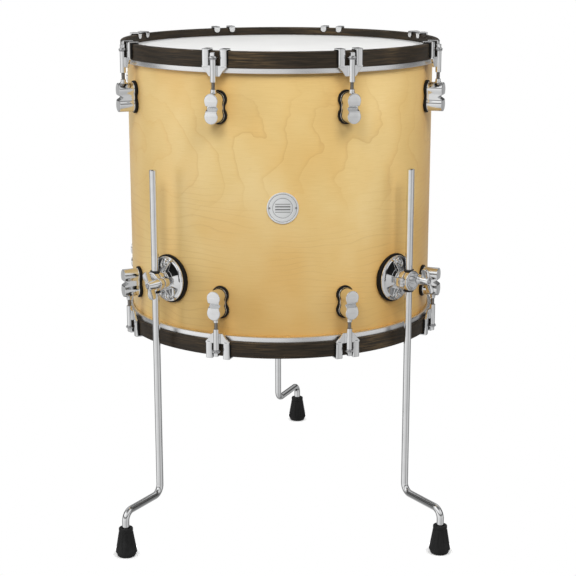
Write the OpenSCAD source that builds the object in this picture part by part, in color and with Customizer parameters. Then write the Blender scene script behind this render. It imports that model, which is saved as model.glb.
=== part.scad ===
// Floor tom: a wooden drum with wood hoops that stands on three clamped legs.
// Millimetres. +Z is up, the badge faces -Y, and the feet stand on z = 0.

/* [Shell] */
// Outside diameter of the shell
shell_d = 457.2; // [430:0.1:480]
// Depth of the shell, edge to edge
shell_h = 406.4; // [340:0.1:440]
// Thickness of the shell wall
shell_t = 7.4; // [6:0.1:8]
// Height of the shell's lower edge above the floor
shell_base = 301; // [285:1:330]

/* [Hoops and heads] */
// How far a wood hoop stands past the edge of the shell
hoop_proud = 12.3; // [10:0.1:14]
// Height of a wood hoop
hoop_h = 23.3; // [21:0.1:25]
// Outside radius of a wood hoop, measured from the shell's outside
hoop_reach = 9.7; // [9.2:0.1:10.5]
// Thickness of the drum head's film
film_t = 0.4; // [0.3:0.1:0.5]

/* [Lugs and rods] */
// Number of lugs at each head
lug_count = 8; // [6:1:10]
// Distance from the shell's edge to the middle of a lug
lug_inset = 65; // [60:1:75]
// Distance from the shell to a lug's outer face
lug_reach = 27.4; // [26.5:0.1:30]
// Distance from the shell to a tension rod's axis
rod_reach = 17.9; // [17.5:0.1:18.5]
// Diameter of a tension rod
rod_d = 5.5; // [5:0.1:5.6]

/* [Legs] */
// Diameter of a leg
leg_d = 10.5; // [9.5:0.1:11]
// Height of a leg's top end above the floor
leg_top = 551; // [500:1:600]
// Distance from the shell to a leg's axis
leg_reach = 28.4; // [28:0.1:29]
// Height of the middle of a leg bracket above the floor
bracket_z = 389; // [370:1:420]
// Sideways step in the leg, above the foot
toe_step = 87; // [60:1:110]
// Height of the stepped stretch of leg above the floor
toe_z = 66; // [62:1:80]
// Turn of the front toes away from straight ahead, in degrees
front_swing = 31.2; // [0:0.1:45]
// Turn of the rear toe away from straight back, in degrees
rear_swing = 24.5; // [0:0.1:45]
// Diameter of a rubber foot at its widest
foot_d = 31; // [26:0.5:34]
// Height of a rubber foot
foot_h = 43; // [38:0.5:46]

/* [Hidden] */
$fn = 64;
ring_fn = 180;
fit = 0.05;                       // radial clearance of a running fit

shell_r = shell_d / 2;
shell_in = shell_r - shell_t;     // inside radius of the shell
shell_top = shell_base + shell_h;
edge_flat = 1.4;                  // width and depth of the shell's outer edge round
edge_crest = 0.4;                 // width of the bearing edge's crest

// Head film: a disc with a collar whose bead sits in the flesh hoop's groove
film_gap = 0.1;
bead_top = -12;
bead_h = 2;
bead_w = 3.3;
// Metal flesh hoop around the collar
flesh_in = 0.6;                   // inside radius, past the shell's outside
flesh_out = 6.4;                  // outside radius, past the shell's outside
flesh_top = -8;
flesh_h = 10;
groove_play = 0.1;

// Wood hoop
hoop_r = shell_r + hoop_reach;
hoop_in = shell_r + 1;
hoop_round = 1.8;
rabbet_play = 0.2;

// Claw hooks: two prongs over the hoop and a sleeve for the rod
claw_gap = 1.5;                   // room for the pad outside the hoop
claw_t = 4;
claw_in = hoop_r + claw_gap;
claw_out = claw_in + claw_t;
lip_in = hoop_in - 2.6;
lip_out = hoop_in - 1;
prong_w = 10;
prong_y = 13.2;                   // from the rod to the middle of a prong
prong_rise = 3;                   // above the hoop
prong_roof = 1;                   // underside of the prong above the hoop
prong_drop = 22;
prong_round = 1.9;
lip_drop = 7;
crotch = 19.5;                    // hoop's top to the bottom of the fork
tail_half = [12.5, 8];            // half widths of the plate where it narrows below the prongs
tail_drop = [28, 34.5];
pad_w = 11.6;
pad_drop = 18;
pad_lip_drop = 2.5;
sleeve_d = 8.2;
sleeve_top = 11;
sleeve_end = 42;
rod_bore = rod_d + 0.2;

// Tension rod head, from the hoop's top down
key_w = 6.35;
key_top = 1.3;
flange_top = 7.5;
flange_end = 9.5;
flange_d = 10.6;
washer_top = 9.7;
rod_tip = 2;                      // above the middle of the lug

// Lug: two round turrets joined by a waist
rod_r = shell_r + rod_reach;
lug_face = shell_r + lug_reach;
turret_r = 10;
turret_z = 11;
waist_w = 16.8;
notch_h = 4.2;
notch_deep = 6.5;
nub_d = 7.6;
nub_top = 26;
gasket_t = 3.5;
gasket_r = 12.7;                  // the gasket's outline around the turrets
gasket_waist = 19.4;
chamber_d = 10;
chamber_z = [3.6, 18.4];
nut_d = 9.4;
nut_z = [4, 18];
screw_d = 5;
screw_end = 11.4;                 // screw tip past the shell's outside
screw_head = [9, 3];
screw_washer = [12, 1.2];

// Leg bracket
bracket_angles = [-45, 45, 180];
bracket_gasket_t = 3;
bracket_gasket_d = 70.5;
base_r = 33;
rim_top = 6.5;
dome_top = 17;
dome_r = 50.6;
neck_r = 11;
clamp_r = 15;
clamp_back = 20;
clamp_face = 36.4;
clamp_split = 0.5;
face_chamfer = 1.4;
stud_y = 14;
stud_d = 6;
stud_end = 56.6;
stud_head = [10, 4];              // diameter and thickness
stud_head_gap = 0.1;              // from the head to the ear in front of it
ear_r = 8;
hinge_y = -16;
hinge_r = 3.6;
hinge_room = 4;                   // radius cleared around a knuckle
hinge_pin_d = 3;
hinge_pin_h = 14;
knuckle_h = 12;
knuckle_mid = 4.6;
knuckle_play = 0.3;
bush_r = 6.5;
bush_half = 15.2;
bush_collar = [7.5, 1];
bracket_screw_z = 24.5;
bracket_screw_d = 6;
bracket_screw_head = [12.6, 3.5];
screw_boss_d = 15.5;              // the seat under each screw head
window_r = [14, 27.5];
window_floor = 8;
window_sweep = 46;
wing_tip = 20.5;
wing_r = 7.2;                     // radius of a wing's round tip
wing_t = 3.6;
wing_lean = 22;                   // turn of the wings from upright, as the nuts are left
hub_end = 55;

// Badge, its pins and the vent
badge_d = 44.5;
badge_t = 1.2;
badge_z = shell_base + shell_h / 2;
badge_pin_y = 18.5;
vent_angle = 135;
vent_d = 12.7;

// Legs and feet
leg_r = shell_r + leg_reach;
bend_r = 14;
leg_end = 10;                     // bottom of the metal inside the foot
sole_r = 12.4;
sole_rise = 6.5;                  // height of the foot's widest ring
sole_round = 1.2;
top_round = 1.5;
toe_headings = [-front_swing, front_swing, 180 - rear_swing];

// The drum's axis is nearer the badge than the origin is, which is under the middle of the whole
front_reach = leg_r * cos(45) + toe_step * cos(front_swing) + foot_d / 2;
rear_reach = leg_r + toe_step * cos(rear_swing) + foot_d / 2;
axis_y = (front_reach - rear_reach) / 2;

sides = ["left", "right", "rear"];
function names(stem, tails) = [for (t = tails) str(stem, t)];
rod_numbers = [for (i = [1 : lug_count]) i];

// ---- placing ----

module on_axis() translate([0, axis_y, 0]) children();

// Local frame: +X outward, +Y anticlockwise round the drum, +Z up
module spoke(angle) rotate([0, 0, angle - 90]) children();

module each_lug() for (i = [0 : lug_count - 1]) spoke((i + 0.5) * 360 / lug_count) children();

module each_bracket() for (a = bracket_angles) spoke(a) translate([0, 0, bracket_z]) children();

// Frames whose z = 0 is an edge of the shell and whose +Z points out of the drum
module at_batter() translate([0, 0, shell_top]) children();
module at_resonant() translate([0, 0, shell_base]) mirror([0, 0, 1]) children();

// A flat outline in (Y, Z) grown outward from x = from to x = to
module outward(from, to) translate([from, 0, 0]) rotate([90, 0, 90]) linear_extrude(to - from) children();

// A round bar along X
module bar(d, from, to) outward(from, to) circle(d = d);

// A round bar along Z
module post(d, from, to) translate([0, 0, from]) cylinder(d = d, h = to - from);

module rounded_rect(w, h, r) {
    translate([r, 0]) square([w - 2 * r, h]);
    translate([0, r]) square([w, h - 2 * r]);
    for (x = [r, w - r], y = [r, h - r]) translate([x, y]) circle(r);
}

// ---- shell ----

module shell_wall() {
    slope = shell_t - edge_flat - edge_crest;
    crest = shell_r - edge_flat - edge_crest;
    rotate_extrude($fn = ring_fn) polygon([
        [shell_in, slope], [crest, 0], [shell_r - edge_flat, 0], [shell_r, edge_flat],
        [shell_r, shell_h - edge_flat], [shell_r - edge_flat, shell_h], [crest, shell_h],
        [shell_in, shell_h - slope]]);
}

module lug_wall_holes()
    each_lug() for (z = [-turret_z, turret_z]) translate([0, 0, z - lug_inset])
        bar(screw_d + 0.4, shell_in - 2, shell_r + 2);

module shell() color("burlywood") difference() {
    translate([0, 0, shell_base]) shell_wall();
    at_batter() lug_wall_holes();
    at_resonant() lug_wall_holes();
    each_bracket() for (z = [-bracket_screw_z, bracket_screw_z]) translate([0, 0, z])
        bar(bracket_screw_d + 0.4, shell_in - 2, shell_r + 2);
    spoke(vent_angle) translate([0, 0, badge_z]) bar(vent_d, shell_in - 2, shell_r + 2);
    badge_pin_bars(1.7, -5);
}

module badge_pin_bars(d, from, to = 2)
    spoke(0) for (y = [-badge_pin_y, badge_pin_y]) translate([0, y, badge_z])
        bar(d, shell_r + from, shell_r + to);

// A thin round plate bent to the shell
module badge() color("gainsboro") difference() {
    spoke(0) translate([0, 0, badge_z]) bar(badge_d, shell_r - 5, shell_r + 5);
    translate([0, 0, badge_z - badge_d]) cylinder(r = shell_r, h = 2 * badge_d, $fn = ring_fn);
    translate([0, 0, badge_z]) difference() {
        cylinder(r = shell_r + 9, h = 2 * badge_d, center = true);
        cylinder(r = shell_r + badge_t, h = 3 * badge_d, center = true, $fn = ring_fn);
    }
    badge_pin_bars(1.7, -5, 5);
}

module badge_pins() color("dimgray") {
    badge_pin_bars(1.6, -5, badge_t);
    badge_pin_bars(3, badge_t - 0.3, badge_t + 0.5);
}

// A rolled eyelet that lets air out of the drum
module vent_grommet() color("silver") spoke(vent_angle) translate([0, 0, badge_z]) difference() {
    union() {
        bar(vent_d - 0.1, shell_in - 1.4, shell_r + 1);
        bar(vent_d + 5, shell_r, shell_r + 1);
        bar(vent_d + 4, shell_in - 1.4, shell_in - 0.2);
    }
    bar(vent_d - 3, shell_in - 3, shell_r + 3);
}

// ---- hoops and heads, in the frame of one edge of the shell ----

module hoop_body() rotate_extrude($fn = ring_fn) difference() {
    translate([hoop_in, hoop_proud - hoop_h]) rounded_rect(hoop_r - hoop_in, hoop_h, hoop_round);
    translate([hoop_in - 1, hoop_proud - hoop_h - 1])
        square([shell_r + flesh_out + rabbet_play - hoop_in + 1, flesh_top - hoop_proud + hoop_h + 1]);
}

module hoop() color("#3a2a20") hoop_body();

module head() color("whitesmoke") rotate_extrude($fn = ring_fn) polygon([
    [0, 0], [shell_r - edge_flat + film_gap, 0], [shell_r + film_gap, -edge_flat],
    [shell_r + film_gap, bead_top - bead_h], [shell_r + film_gap + bead_w, bead_top - bead_h],
    [shell_r + film_gap + bead_w, bead_top], [shell_r + film_gap + film_t, bead_top],
    [shell_r + film_gap + film_t, 0.1 - edge_flat], [shell_r - edge_flat + 0.3, film_t], [0, film_t]]);

module flesh_hoop() color("silver") rotate_extrude($fn = ring_fn) difference() {
    translate([shell_r + flesh_in, flesh_top - flesh_h]) square([flesh_out - flesh_in, flesh_h]);
    translate([shell_r, bead_top - bead_h - groove_play])
        square([film_gap + bead_w + groove_play, bead_h + 2 * groove_play]);
}

// ---- lugs, in the same frame ----

module peanut(r, waist) {
    for (z = [-turret_z, turret_z]) translate([0, z]) circle(r);
    square([waist, 2 * turret_z], center = true);
}

module lug() difference() {
    union() {
        outward(shell_r + gasket_t, lug_face) peanut(turret_r, waist_w);
        translate([rod_r, 0, 0]) post(nub_d, turret_z, nub_top);
    }
    translate([0, turret_r + 1, 0]) rotate([90, 0, 0]) linear_extrude(2 * turret_r + 2)
        polygon([[lug_face + 1, -notch_h - 1], [lug_face - notch_deep, 0], [lug_face + 1, notch_h + 1]]);
    translate([rod_r, 0, 0]) {
        post(rod_d + 0.4, rod_tip - 1.5, nub_top + 1);
        post(chamber_d, chamber_z[0], chamber_z[1]);
    }
    for (z = [-turret_z, turret_z]) translate([0, 0, z])
        bar(screw_d + 2 * fit, shell_r, shell_r + screw_end + 0.3);
}

module lugs() color("silver") each_lug() translate([0, 0, -lug_inset]) lug();

module lug_gaskets() color("#1a1a1a") each_lug() translate([0, 0, -lug_inset]) difference() {
    outward(shell_r - 3, shell_r + gasket_t) peanut(gasket_r, gasket_waist);
    translate([0, 0, -50]) cylinder(r = shell_r, h = 100, $fn = ring_fn);
    for (z = [-turret_z, turret_z]) translate([0, 0, z]) bar(screw_d + 0.4, shell_r - 5, shell_r + 5);
}

// Screws from inside the drum, each with its washer
module lug_screws() color("dimgray")
    each_lug() for (z = [-turret_z, turret_z]) translate([0, 0, z - lug_inset]) {
        seat = shell_in - 0.1;
        bar(screw_d, seat - screw_washer[1], shell_r + screw_end);
        bar(screw_washer[0], seat - screw_washer[1], seat);
        bar(screw_head[0], seat - screw_washer[1] - screw_head[1], seat - screw_washer[1]);
    }

// The threaded insert that takes the rod
module lug_nuts() color("goldenrod") each_lug() translate([rod_r, 0, -lug_inset]) difference() {
    post(nut_d, nut_z[0], nut_z[1]);
    post(rod_d + 2 * fit, nut_z[0] - 1, nut_z[1] + 1);
}

// ---- claws and rods, in the same frame ----

// One prong of a claw: a hook over the hoop, its lip rounded at the lower end
module prong() intersection() {
    translate([0, prong_w / 2, hoop_proud]) rotate([90, 0, 0]) linear_extrude(prong_w) difference() {
        translate([lip_in, -prong_drop]) rounded_rect(claw_out - lip_in, prong_drop + prong_rise, prong_round);
        translate([lip_out, -prong_drop - 1]) square([claw_in - lip_out, prong_drop + 1 + prong_roof]);
        translate([lip_in - 1, -prong_drop - 1]) square([lip_out - lip_in + 1.5, prong_drop + 1 - lip_drop]);
    }
    union() {
        outward(lip_out + 0.5, claw_out + 1) translate([-prong_w / 2, -prong_drop]) square([prong_w, 40]);
        outward(lip_in - 1, lip_out + 0.5) translate([0, hoop_proud - lip_drop + prong_w / 2]) {
            circle(prong_w / 2);
            translate([-prong_w / 2, 0]) square([prong_w, 20]);
        }
    }
}

module claw() difference() {
    half = prong_y + prong_w / 2;
    union() {
        for (side = [-1, 1]) translate([0, side * prong_y, 0]) prong();
        outward(claw_in, claw_out) translate([0, hoop_proud]) polygon([
            [-half, -crotch], [half, -crotch], [half, -prong_drop],
            [tail_half[0], -tail_drop[0]], [tail_half[1], -tail_drop[1]],
            [-tail_half[1], -tail_drop[1]], [-tail_half[0], -tail_drop[0]], [-half, -prong_drop]]);
        translate([rod_r, 0, hoop_proud]) post(sleeve_d, -sleeve_end, -sleeve_top);
    }
    translate([rod_r, 0, hoop_proud]) post(rod_bore, -sleeve_end - 1, -sleeve_top + 1);
}

module claws() color("silver") each_lug() claw();

// A rubber pad in each prong's hook, shaped to the hoop
module claw_pads() color("#141414") difference() {
    each_lug() for (y = [-prong_y, prong_y]) translate([0, y, hoop_proud]) difference() {
        translate([lip_out, -pad_w / 2, -pad_drop]) cube([claw_in - lip_out, pad_w, pad_drop + prong_roof]);
        translate([lip_out - 1, -pad_w / 2 - 1, -pad_drop - 1]) cube([3, pad_w + 2, pad_drop + 1 - pad_lip_drop]);
    }
    hoop_body();
}

module rod_washers() color("gainsboro") each_lug() translate([rod_r, 0, hoop_proud]) difference() {
    post(flange_d, -sleeve_top, -washer_top);
    post(rod_bore, -sleeve_top - 1, -washer_top + 1);
}

module rod(number) color("silver") spoke((number - 0.5) * 360 / lug_count) translate([rod_r, 0, 0]) {
    post(rod_d, rod_tip - lug_inset, hoop_proud - flange_top);
    translate([0, 0, hoop_proud]) {
        post(flange_d, -flange_end, -flange_top);
        translate([0, 0, -flange_top]) cylinder(d1 = flange_d - 1, d2 = key_w, h = 1.6);
        translate([-key_w / 2, -key_w / 2, -flange_top]) cube([key_w, key_w, flange_top - key_top]);
    }
}

// ---- leg brackets, in the frame of each bracket, x measured from the drum's axis ----

module bracket_gaskets() color("#1a1a1a") each_bracket() difference() {
    bar(bracket_gasket_d, shell_r - 6, shell_r + bracket_gasket_t);
    translate([0, 0, -60]) cylinder(r = shell_r, h = 120, $fn = ring_fn);
    for (z = [-bracket_screw_z, bracket_screw_z]) translate([0, 0, z])
        bar(bracket_screw_d + 0.4, shell_r - 7, shell_r + 7);
}

// Outline of the clamp: the disc the leg runs through and the ear for the stud
module clamp_outline(trim = 0) {
    circle(clamp_r - trim);
    translate([stud_y, 0]) circle(ear_r - trim);
}

module leg_bore() translate([shell_r + leg_reach, 0, 0]) post(2 * (bush_r + fit), -60, 60);
module stud_bore() translate([0, stud_y, 0]) bar(stud_d + 2 * fit, shell_r + clamp_back - 4, shell_r + 60);
module stud_head_room() translate([shell_r + clamp_back, stud_y, 0])
    bar(stud_head[0] + 1, -stud_head[1] - 0.6, 0);
module hinge_bore() translate([shell_r + leg_reach, hinge_y, 0]) post(hinge_pin_d + 2 * fit, -30, 30);
module knuckle(from, to) translate([shell_r + leg_reach, hinge_y, 0]) post(2 * hinge_r, from, to);

// Room in one half of the clamp for the other half's knuckles
module knuckle_room(from, to) translate([shell_r + leg_reach, hinge_y, 0]) post(2 * hinge_room, from, to);

// The dome turned about X
module dome() translate([shell_r, 0, 0]) rotate([0, 90, 0]) rotate_extrude() {
    translate([0, bracket_gasket_t]) square([base_r, rim_top - bracket_gasket_t]);
    intersection() {
        translate([0, dome_top - dome_r]) circle(dome_r, $fn = 180);
        translate([0, bracket_gasket_t]) square([base_r - 1.2, dome_top]);
    }
}

// Four pockets between the dome's ribs
module dome_windows() for (a = [45, 135, 225, 315])
    translate([shell_r + window_floor, 0, 0]) rotate([0, 90, 0]) rotate([0, 0, a - window_sweep / 2])
        rotate_extrude(angle = window_sweep) translate([window_r[0], 0]) square([window_r[1] - window_r[0], 20]);

module bracket_base() difference() {
    split = shell_r + leg_reach - clamp_split / 2;
    union() {
        difference() {
            dome();
            dome_windows();
        }
        for (z = [-bracket_screw_z, bracket_screw_z]) translate([0, 0, z])
            bar(screw_boss_d, shell_r + bracket_gasket_t, shell_r + window_floor);
        bar(2 * neck_r, shell_r + bracket_gasket_t, shell_r + clamp_back + 1);
        outward(shell_r + clamp_back, split) clamp_outline();
        knuckle(-knuckle_h / 2, knuckle_h / 2);
        translate([shell_r + clamp_back, hinge_y - hinge_r + 1, -knuckle_h / 2])
            cube([split - shell_r - clamp_back, hinge_r + 3, knuckle_h]);
    }
    knuckle_room(-knuckle_mid / 2, knuckle_mid / 2);
    for (z = [-bracket_screw_z, bracket_screw_z]) translate([0, 0, z]) {
        bar(bracket_screw_d + 2 * fit, shell_r - 1, shell_r + 30);
        bar(bracket_screw_head[0] + 1.4, shell_r + window_floor - 0.5, shell_r + clamp_back - 1);
    }
    leg_bore();
    stud_bore();
    stud_head_room();
    hinge_bore();
}

module bracket_bases() color("silver") each_bracket() bracket_base();

module clamp_cap() difference() {
    split = shell_r + leg_reach + clamp_split / 2;
    union() {
        outward(split, shell_r + clamp_face - face_chamfer) clamp_outline();
        outward(shell_r + clamp_face - face_chamfer, shell_r + clamp_face) clamp_outline(face_chamfer);
        knuckle(knuckle_play - knuckle_mid / 2, knuckle_mid / 2 - knuckle_play);
        translate([split, hinge_y, knuckle_play - knuckle_mid / 2])
            cube([hinge_r - clamp_split, hinge_r + 2, knuckle_mid - 2 * knuckle_play]);
    }
    knuckle_room(knuckle_mid / 2 - knuckle_play, knuckle_h / 2 + knuckle_play);
    knuckle_room(-knuckle_h / 2 - knuckle_play, knuckle_play - knuckle_mid / 2);
    leg_bore();
    stud_bore();
    hinge_bore();
}

module clamp_caps() color("silver") each_bracket() clamp_cap();

module clamp_hinge_pins() color("gray") each_bracket() translate([shell_r + leg_reach, hinge_y, 0])
    post(hinge_pin_d, -hinge_pin_h / 2, hinge_pin_h / 2);

// Threaded studs with a round head behind the ear
module clamp_studs() color("silver") each_bracket() translate([0, stud_y, 0]) {
    head_top = shell_r + clamp_back - stud_head_gap;
    bar(stud_d, head_top - stud_head[1], shell_r + stud_end);
    bar(stud_head[0], head_top - stud_head[1], head_top);
}

module bracket_screws() color("silver")
    each_bracket() for (z = [-bracket_screw_z, bracket_screw_z]) translate([0, 0, z]) {
        bar(bracket_screw_d, shell_r - 15, shell_r + window_floor);
        bar(bracket_screw_head[0], shell_r + window_floor - 0.5, shell_r + window_floor + bracket_screw_head[1]);
    }

// Flanged hexagon nuts inside the shell
module bracket_nuts() color("gray")
    each_bracket() for (z = [-bracket_screw_z, bracket_screw_z]) translate([0, 0, z]) difference() {
        seat = shell_in - 0.2;
        union() {
            bar(16, seat - 1.5, seat);
            outward(seat - 6.4, seat - 1) circle(d = 11.5, $fn = 6);
        }
        bar(bracket_screw_d + 2 * fit, seat - 8, seat + 1);
    }

// ---- what moves at a bracket ----

// Split sleeve that lines the clamp and turns with the leg
module leg_bush(i) color("#222222") spoke(bracket_angles[i]) translate([leg_r, 0, bracket_z]) difference() {
    union() {
        post(2 * bush_r, -bush_half, bush_half);
        for (s = [-1, 1]) translate([0, 0, s * (bush_half + bush_collar[1] / 2)])
            post(2 * bush_collar[0], -bush_collar[1] / 2, bush_collar[1] / 2);
    }
    post(leg_d + 2 * fit, -30, 30);
}

module wing_nut(i) color("silver") spoke(bracket_angles[i]) translate([shell_r, stud_y, bracket_z])
    rotate([wing_lean, 0, 0]) difference() {
        union() {
            translate([clamp_face + 0.4, 0, 0]) rotate([0, 90, 0])
                cylinder(r1 = 7.8, r2 = 5, h = hub_end - clamp_face - 0.4);
            for (s = [0, 1]) mirror([0, 0, s]) wing();
        }
        bar(stud_d + 2 * fit, clamp_face, stud_end + 1);
    }

// One flat wing that leans outward to a round tip
module wing() translate([0, wing_t / 2, 0]) rotate([90, 0, 0]) linear_extrude(wing_t) {
    middle = hub_end - 3;
    polygon([[hub_end - 16, 0], [hub_end - 1, 0], [middle + wing_r, wing_tip - wing_r],
             [middle - wing_r, wing_tip - wing_r]]);
    translate([middle, wing_tip - wing_r]) circle(wing_r);
}

module at_leg(i) spoke(bracket_angles[i]) translate([leg_r, 0, 0])
    rotate([0, 0, toe_headings[i] - bracket_angles[i]]) children();

// A quarter turn of leg from heading down to heading along +X
module quarter_bend() rotate([90, 0, 0]) rotate([0, 0, 180]) rotate_extrude(angle = 90)
    translate([bend_r, 0]) circle(d = leg_d);

// A leg: straight down, a quarter bend outward, a short level stretch, a quarter bend down
module leg(i) color("silver") at_leg(i) {
    post(leg_d, toe_z + bend_r, leg_top - 1);
    translate([0, 0, leg_top - 1]) cylinder(d1 = leg_d, d2 = leg_d - 2, h = 1);
    translate([bend_r, 0, toe_z + bend_r]) quarter_bend();
    translate([0, 0, toe_z]) bar(leg_d, bend_r, toe_step - bend_r);
    translate([toe_step - bend_r, 0, toe_z - bend_r]) rotate([0, 180, 0]) quarter_bend();
    translate([toe_step, 0, 0]) post(leg_d, leg_end, toe_z - bend_r);
}

// A rubber foot: a blunt cone that widens downward, then draws in to its round sole
module foot(i) color("#202020") at_leg(i) translate([toe_step, 0, 0]) rotate_extrude() difference() {
    neck = 0.33 * foot_d;
    union() {
        polygon([[0, 0], [sole_r - sole_round, 0], [sole_r, sole_round], [foot_d / 2, sole_rise],
                 [neck, foot_h - top_round], [neck - top_round, foot_h], [0, foot_h]]);
        translate([sole_r - sole_round, sole_round]) intersection() {
            circle(sole_round);
            translate([0, -sole_round]) square([sole_round, sole_round]);
        }
    }
    translate([0, leg_end - fit]) square([leg_d / 2 + fit, foot_h]);
}

on_axis() shell();
on_axis() badge();
on_axis() badge_pins();
on_axis() vent_grommet();
on_axis() at_batter() hoop();  // batter_hoop
on_axis() at_resonant() hoop();  // resonant_hoop
on_axis() at_batter() head();  // batter_head
on_axis() at_resonant() head();  // resonant_head
on_axis() at_batter() flesh_hoop();  // batter_flesh_hoop
on_axis() at_resonant() flesh_hoop();  // resonant_flesh_hoop
on_axis() at_batter() lugs();  // batter_lugs
on_axis() at_resonant() lugs();  // resonant_lugs
on_axis() at_batter() lug_gaskets();  // batter_lug_gaskets
on_axis() at_resonant() lug_gaskets();  // resonant_lug_gaskets
on_axis() at_batter() lug_screws();  // batter_lug_screws
on_axis() at_resonant() lug_screws();  // resonant_lug_screws
on_axis() at_batter() lug_nuts();  // batter_lug_nuts
on_axis() at_resonant() lug_nuts();  // resonant_lug_nuts
on_axis() at_batter() claws();  // batter_claws
on_axis() at_resonant() claws();  // resonant_claws
on_axis() at_batter() claw_pads();  // batter_claw_pads
on_axis() at_resonant() claw_pads();  // resonant_claw_pads
on_axis() at_batter() rod_washers();  // batter_rod_washers
on_axis() at_resonant() rod_washers();  // resonant_rod_washers
on_axis() bracket_gaskets();
on_axis() bracket_bases();
on_axis() bracket_screws();
on_axis() bracket_nuts();
on_axis() clamp_caps();
on_axis() clamp_hinge_pins();
on_axis() clamp_studs();
for (i = rod_numbers) {
    on_axis() at_batter() rod(i);
    on_axis() at_resonant() rod(i);
}
for (i = [0 : 2]) {
    on_axis() leg_bush(i);
    on_axis() leg(i);
    on_axis() foot(i);
    on_axis() wing_nut(i);
}
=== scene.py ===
"""Looks for a wooden floor tom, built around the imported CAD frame.

Forms are made in millimetres, in the frame of one fitting, and placed round the drum in metres.
"""

import itertools
import math

import bpy
import numpy as np
from mathutils import Matrix, Vector


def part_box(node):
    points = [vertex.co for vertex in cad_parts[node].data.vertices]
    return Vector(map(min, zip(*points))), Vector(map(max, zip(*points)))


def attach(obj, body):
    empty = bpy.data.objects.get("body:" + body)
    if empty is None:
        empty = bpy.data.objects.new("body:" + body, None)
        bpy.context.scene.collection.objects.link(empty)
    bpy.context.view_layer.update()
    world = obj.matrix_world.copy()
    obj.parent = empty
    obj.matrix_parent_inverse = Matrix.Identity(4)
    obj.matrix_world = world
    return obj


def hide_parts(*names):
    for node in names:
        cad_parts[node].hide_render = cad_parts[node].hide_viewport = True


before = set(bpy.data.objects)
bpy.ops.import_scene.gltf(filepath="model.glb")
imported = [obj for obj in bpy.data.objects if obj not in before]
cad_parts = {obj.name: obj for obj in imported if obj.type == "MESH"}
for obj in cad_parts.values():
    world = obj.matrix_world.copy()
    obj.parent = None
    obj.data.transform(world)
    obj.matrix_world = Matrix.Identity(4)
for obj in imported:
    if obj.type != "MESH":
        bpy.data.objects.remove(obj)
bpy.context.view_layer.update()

MM = 0.001
TAU = 2 * math.pi


# ---- sizes, in millimetres ----


def node_box(node):
    """Lowest and highest corner of a CAD node in millimetres, to a hundredth."""
    return [[round(c / MM, 2) for c in corner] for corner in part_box(node)]


shell_low, shell_high = node_box("shell")
hoop_low, hoop_high = node_box("batter_hoop")
flesh_low, flesh_high = node_box("batter_flesh_hoop")

SHELL_R = (shell_high[0] - shell_low[0]) / 2
AXIS_Y = (shell_high[1] + shell_low[1]) / 2
SHELL_BASE, SHELL_TOP = shell_low[2], shell_high[2]
MIDDLE = (SHELL_BASE + SHELL_TOP) / 2
HOOP_PROUD = hoop_high[2] - SHELL_TOP
HOOP_H = hoop_high[2] - hoop_low[2]
# Distances out from the shell's surface
HOOP_OUT = (hoop_high[0] - hoop_low[0]) / 2 - SHELL_R
FLESH_OUT = (flesh_high[0] - flesh_low[0]) / 2 - SHELL_R
FLESH_TOP, FLESH_END = flesh_high[2] - SHELL_TOP, flesh_low[2] - SHELL_TOP

HOOP_IN = 1.0
SHELL_T = 7.4
LUG_COUNT = 8
LUG_INSET = 65.0
LUG_OUT = 27.4
TURRET_Z, TURRET_R = 11.0, 10.0
CROWN_R = 70.0
NUB_R, NUB_END = 3.8, 26.0
COLLAR_R, COLLAR_END = 4.4, 22.0
WAIST_HALF, NOTCH_H, NOTCH_DEEP = 8.4, 4.2, 6.5
GASKET_T, GASKET_R, GASKET_WAIST = 3.5, 12.7, 9.7
ROD_OUT = 17.9
ROD_R = 2.75
ROD_TIP = 2.0
FLANGE_R, FLANGE_LOW, FLANGE_TOP = 5.3, -9.5, -7.5
KEY_HALF, KEY_TOP = 3.17, -1.3
SHANK_R, SHANK_END = 2.5, -39.5

CLAW_IN, CLAW_OUT = HOOP_OUT + 1.5, HOOP_OUT + 5.5
CLAW_LIP = (HOOP_IN - 2.6, HOOP_IN - 1.0)
PRONG_Y, PRONG_HALF = 13.2, 5.0
PRONG_RISE, PRONG_DROP, LIP_DROP = 3.0, 22.0, 7.0
CROTCH = 19.5
TAIL = ((12.5, -28.0), (8.0, -34.5))
PAD_DROP, PAD_LIP_DROP = 18.0, 2.5
SLEEVE_R, SLEEVE_TOP, SLEEVE_END = 4.1, -11.0, -42.0

BRACKET_ANGLES = {"left": -45, "right": 45, "rear": 180}
BASE_R, RIM_TOP, DOME_TOP, DOME_R = 33.0, 6.5, 17.0, 50.6
POCKET_FLOOR, POCKET_REACH = 8.0, 29.0
CLAMP_R, CLAMP_BACK, CLAMP_FACE, CLAMP_GAP = 15.0, 20.0, 36.4, 0.5
LEG_OUT, LEG_R = 28.4, 5.25
BUSH_R, BUSH_HALF = 6.5, 16.2
STUD_Y, STUD_R, STUD_END = 14.0, 3.0, 56.6
HUB_END, WING_TIP, WING_R, WING_LEAN = 55.0, 20.5, 7.2, 22
EAR_R = 8.0
HINGE_Y, HINGE_R, HINGE_PIN_R = -16.0, 3.6, 1.5
KNUCKLE_HALF, KNUCKLE_MID = 6.0, 2.3
BRACKET_SCREW_Z, SCREW_HEAD_R, SCREW_BOSS_R = 24.5, 6.3, 7.75
BRACKET_Z = sum(node_box("leg_bush_left")[i][2] for i in (0, 1)) / 2

LEG_LEVEL = 66.0
BEND_R = 14.0
LEG_END = 10.0
FOOT_R, SOLE_R, SOLE_RISE = 15.5, 12.4, 6.5
BADGE_R, BADGE_PIN_Y = 22.25, 18.5
VENT_ANGLE, VENT_R = 135, 6.35


# ---- frames ----


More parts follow.
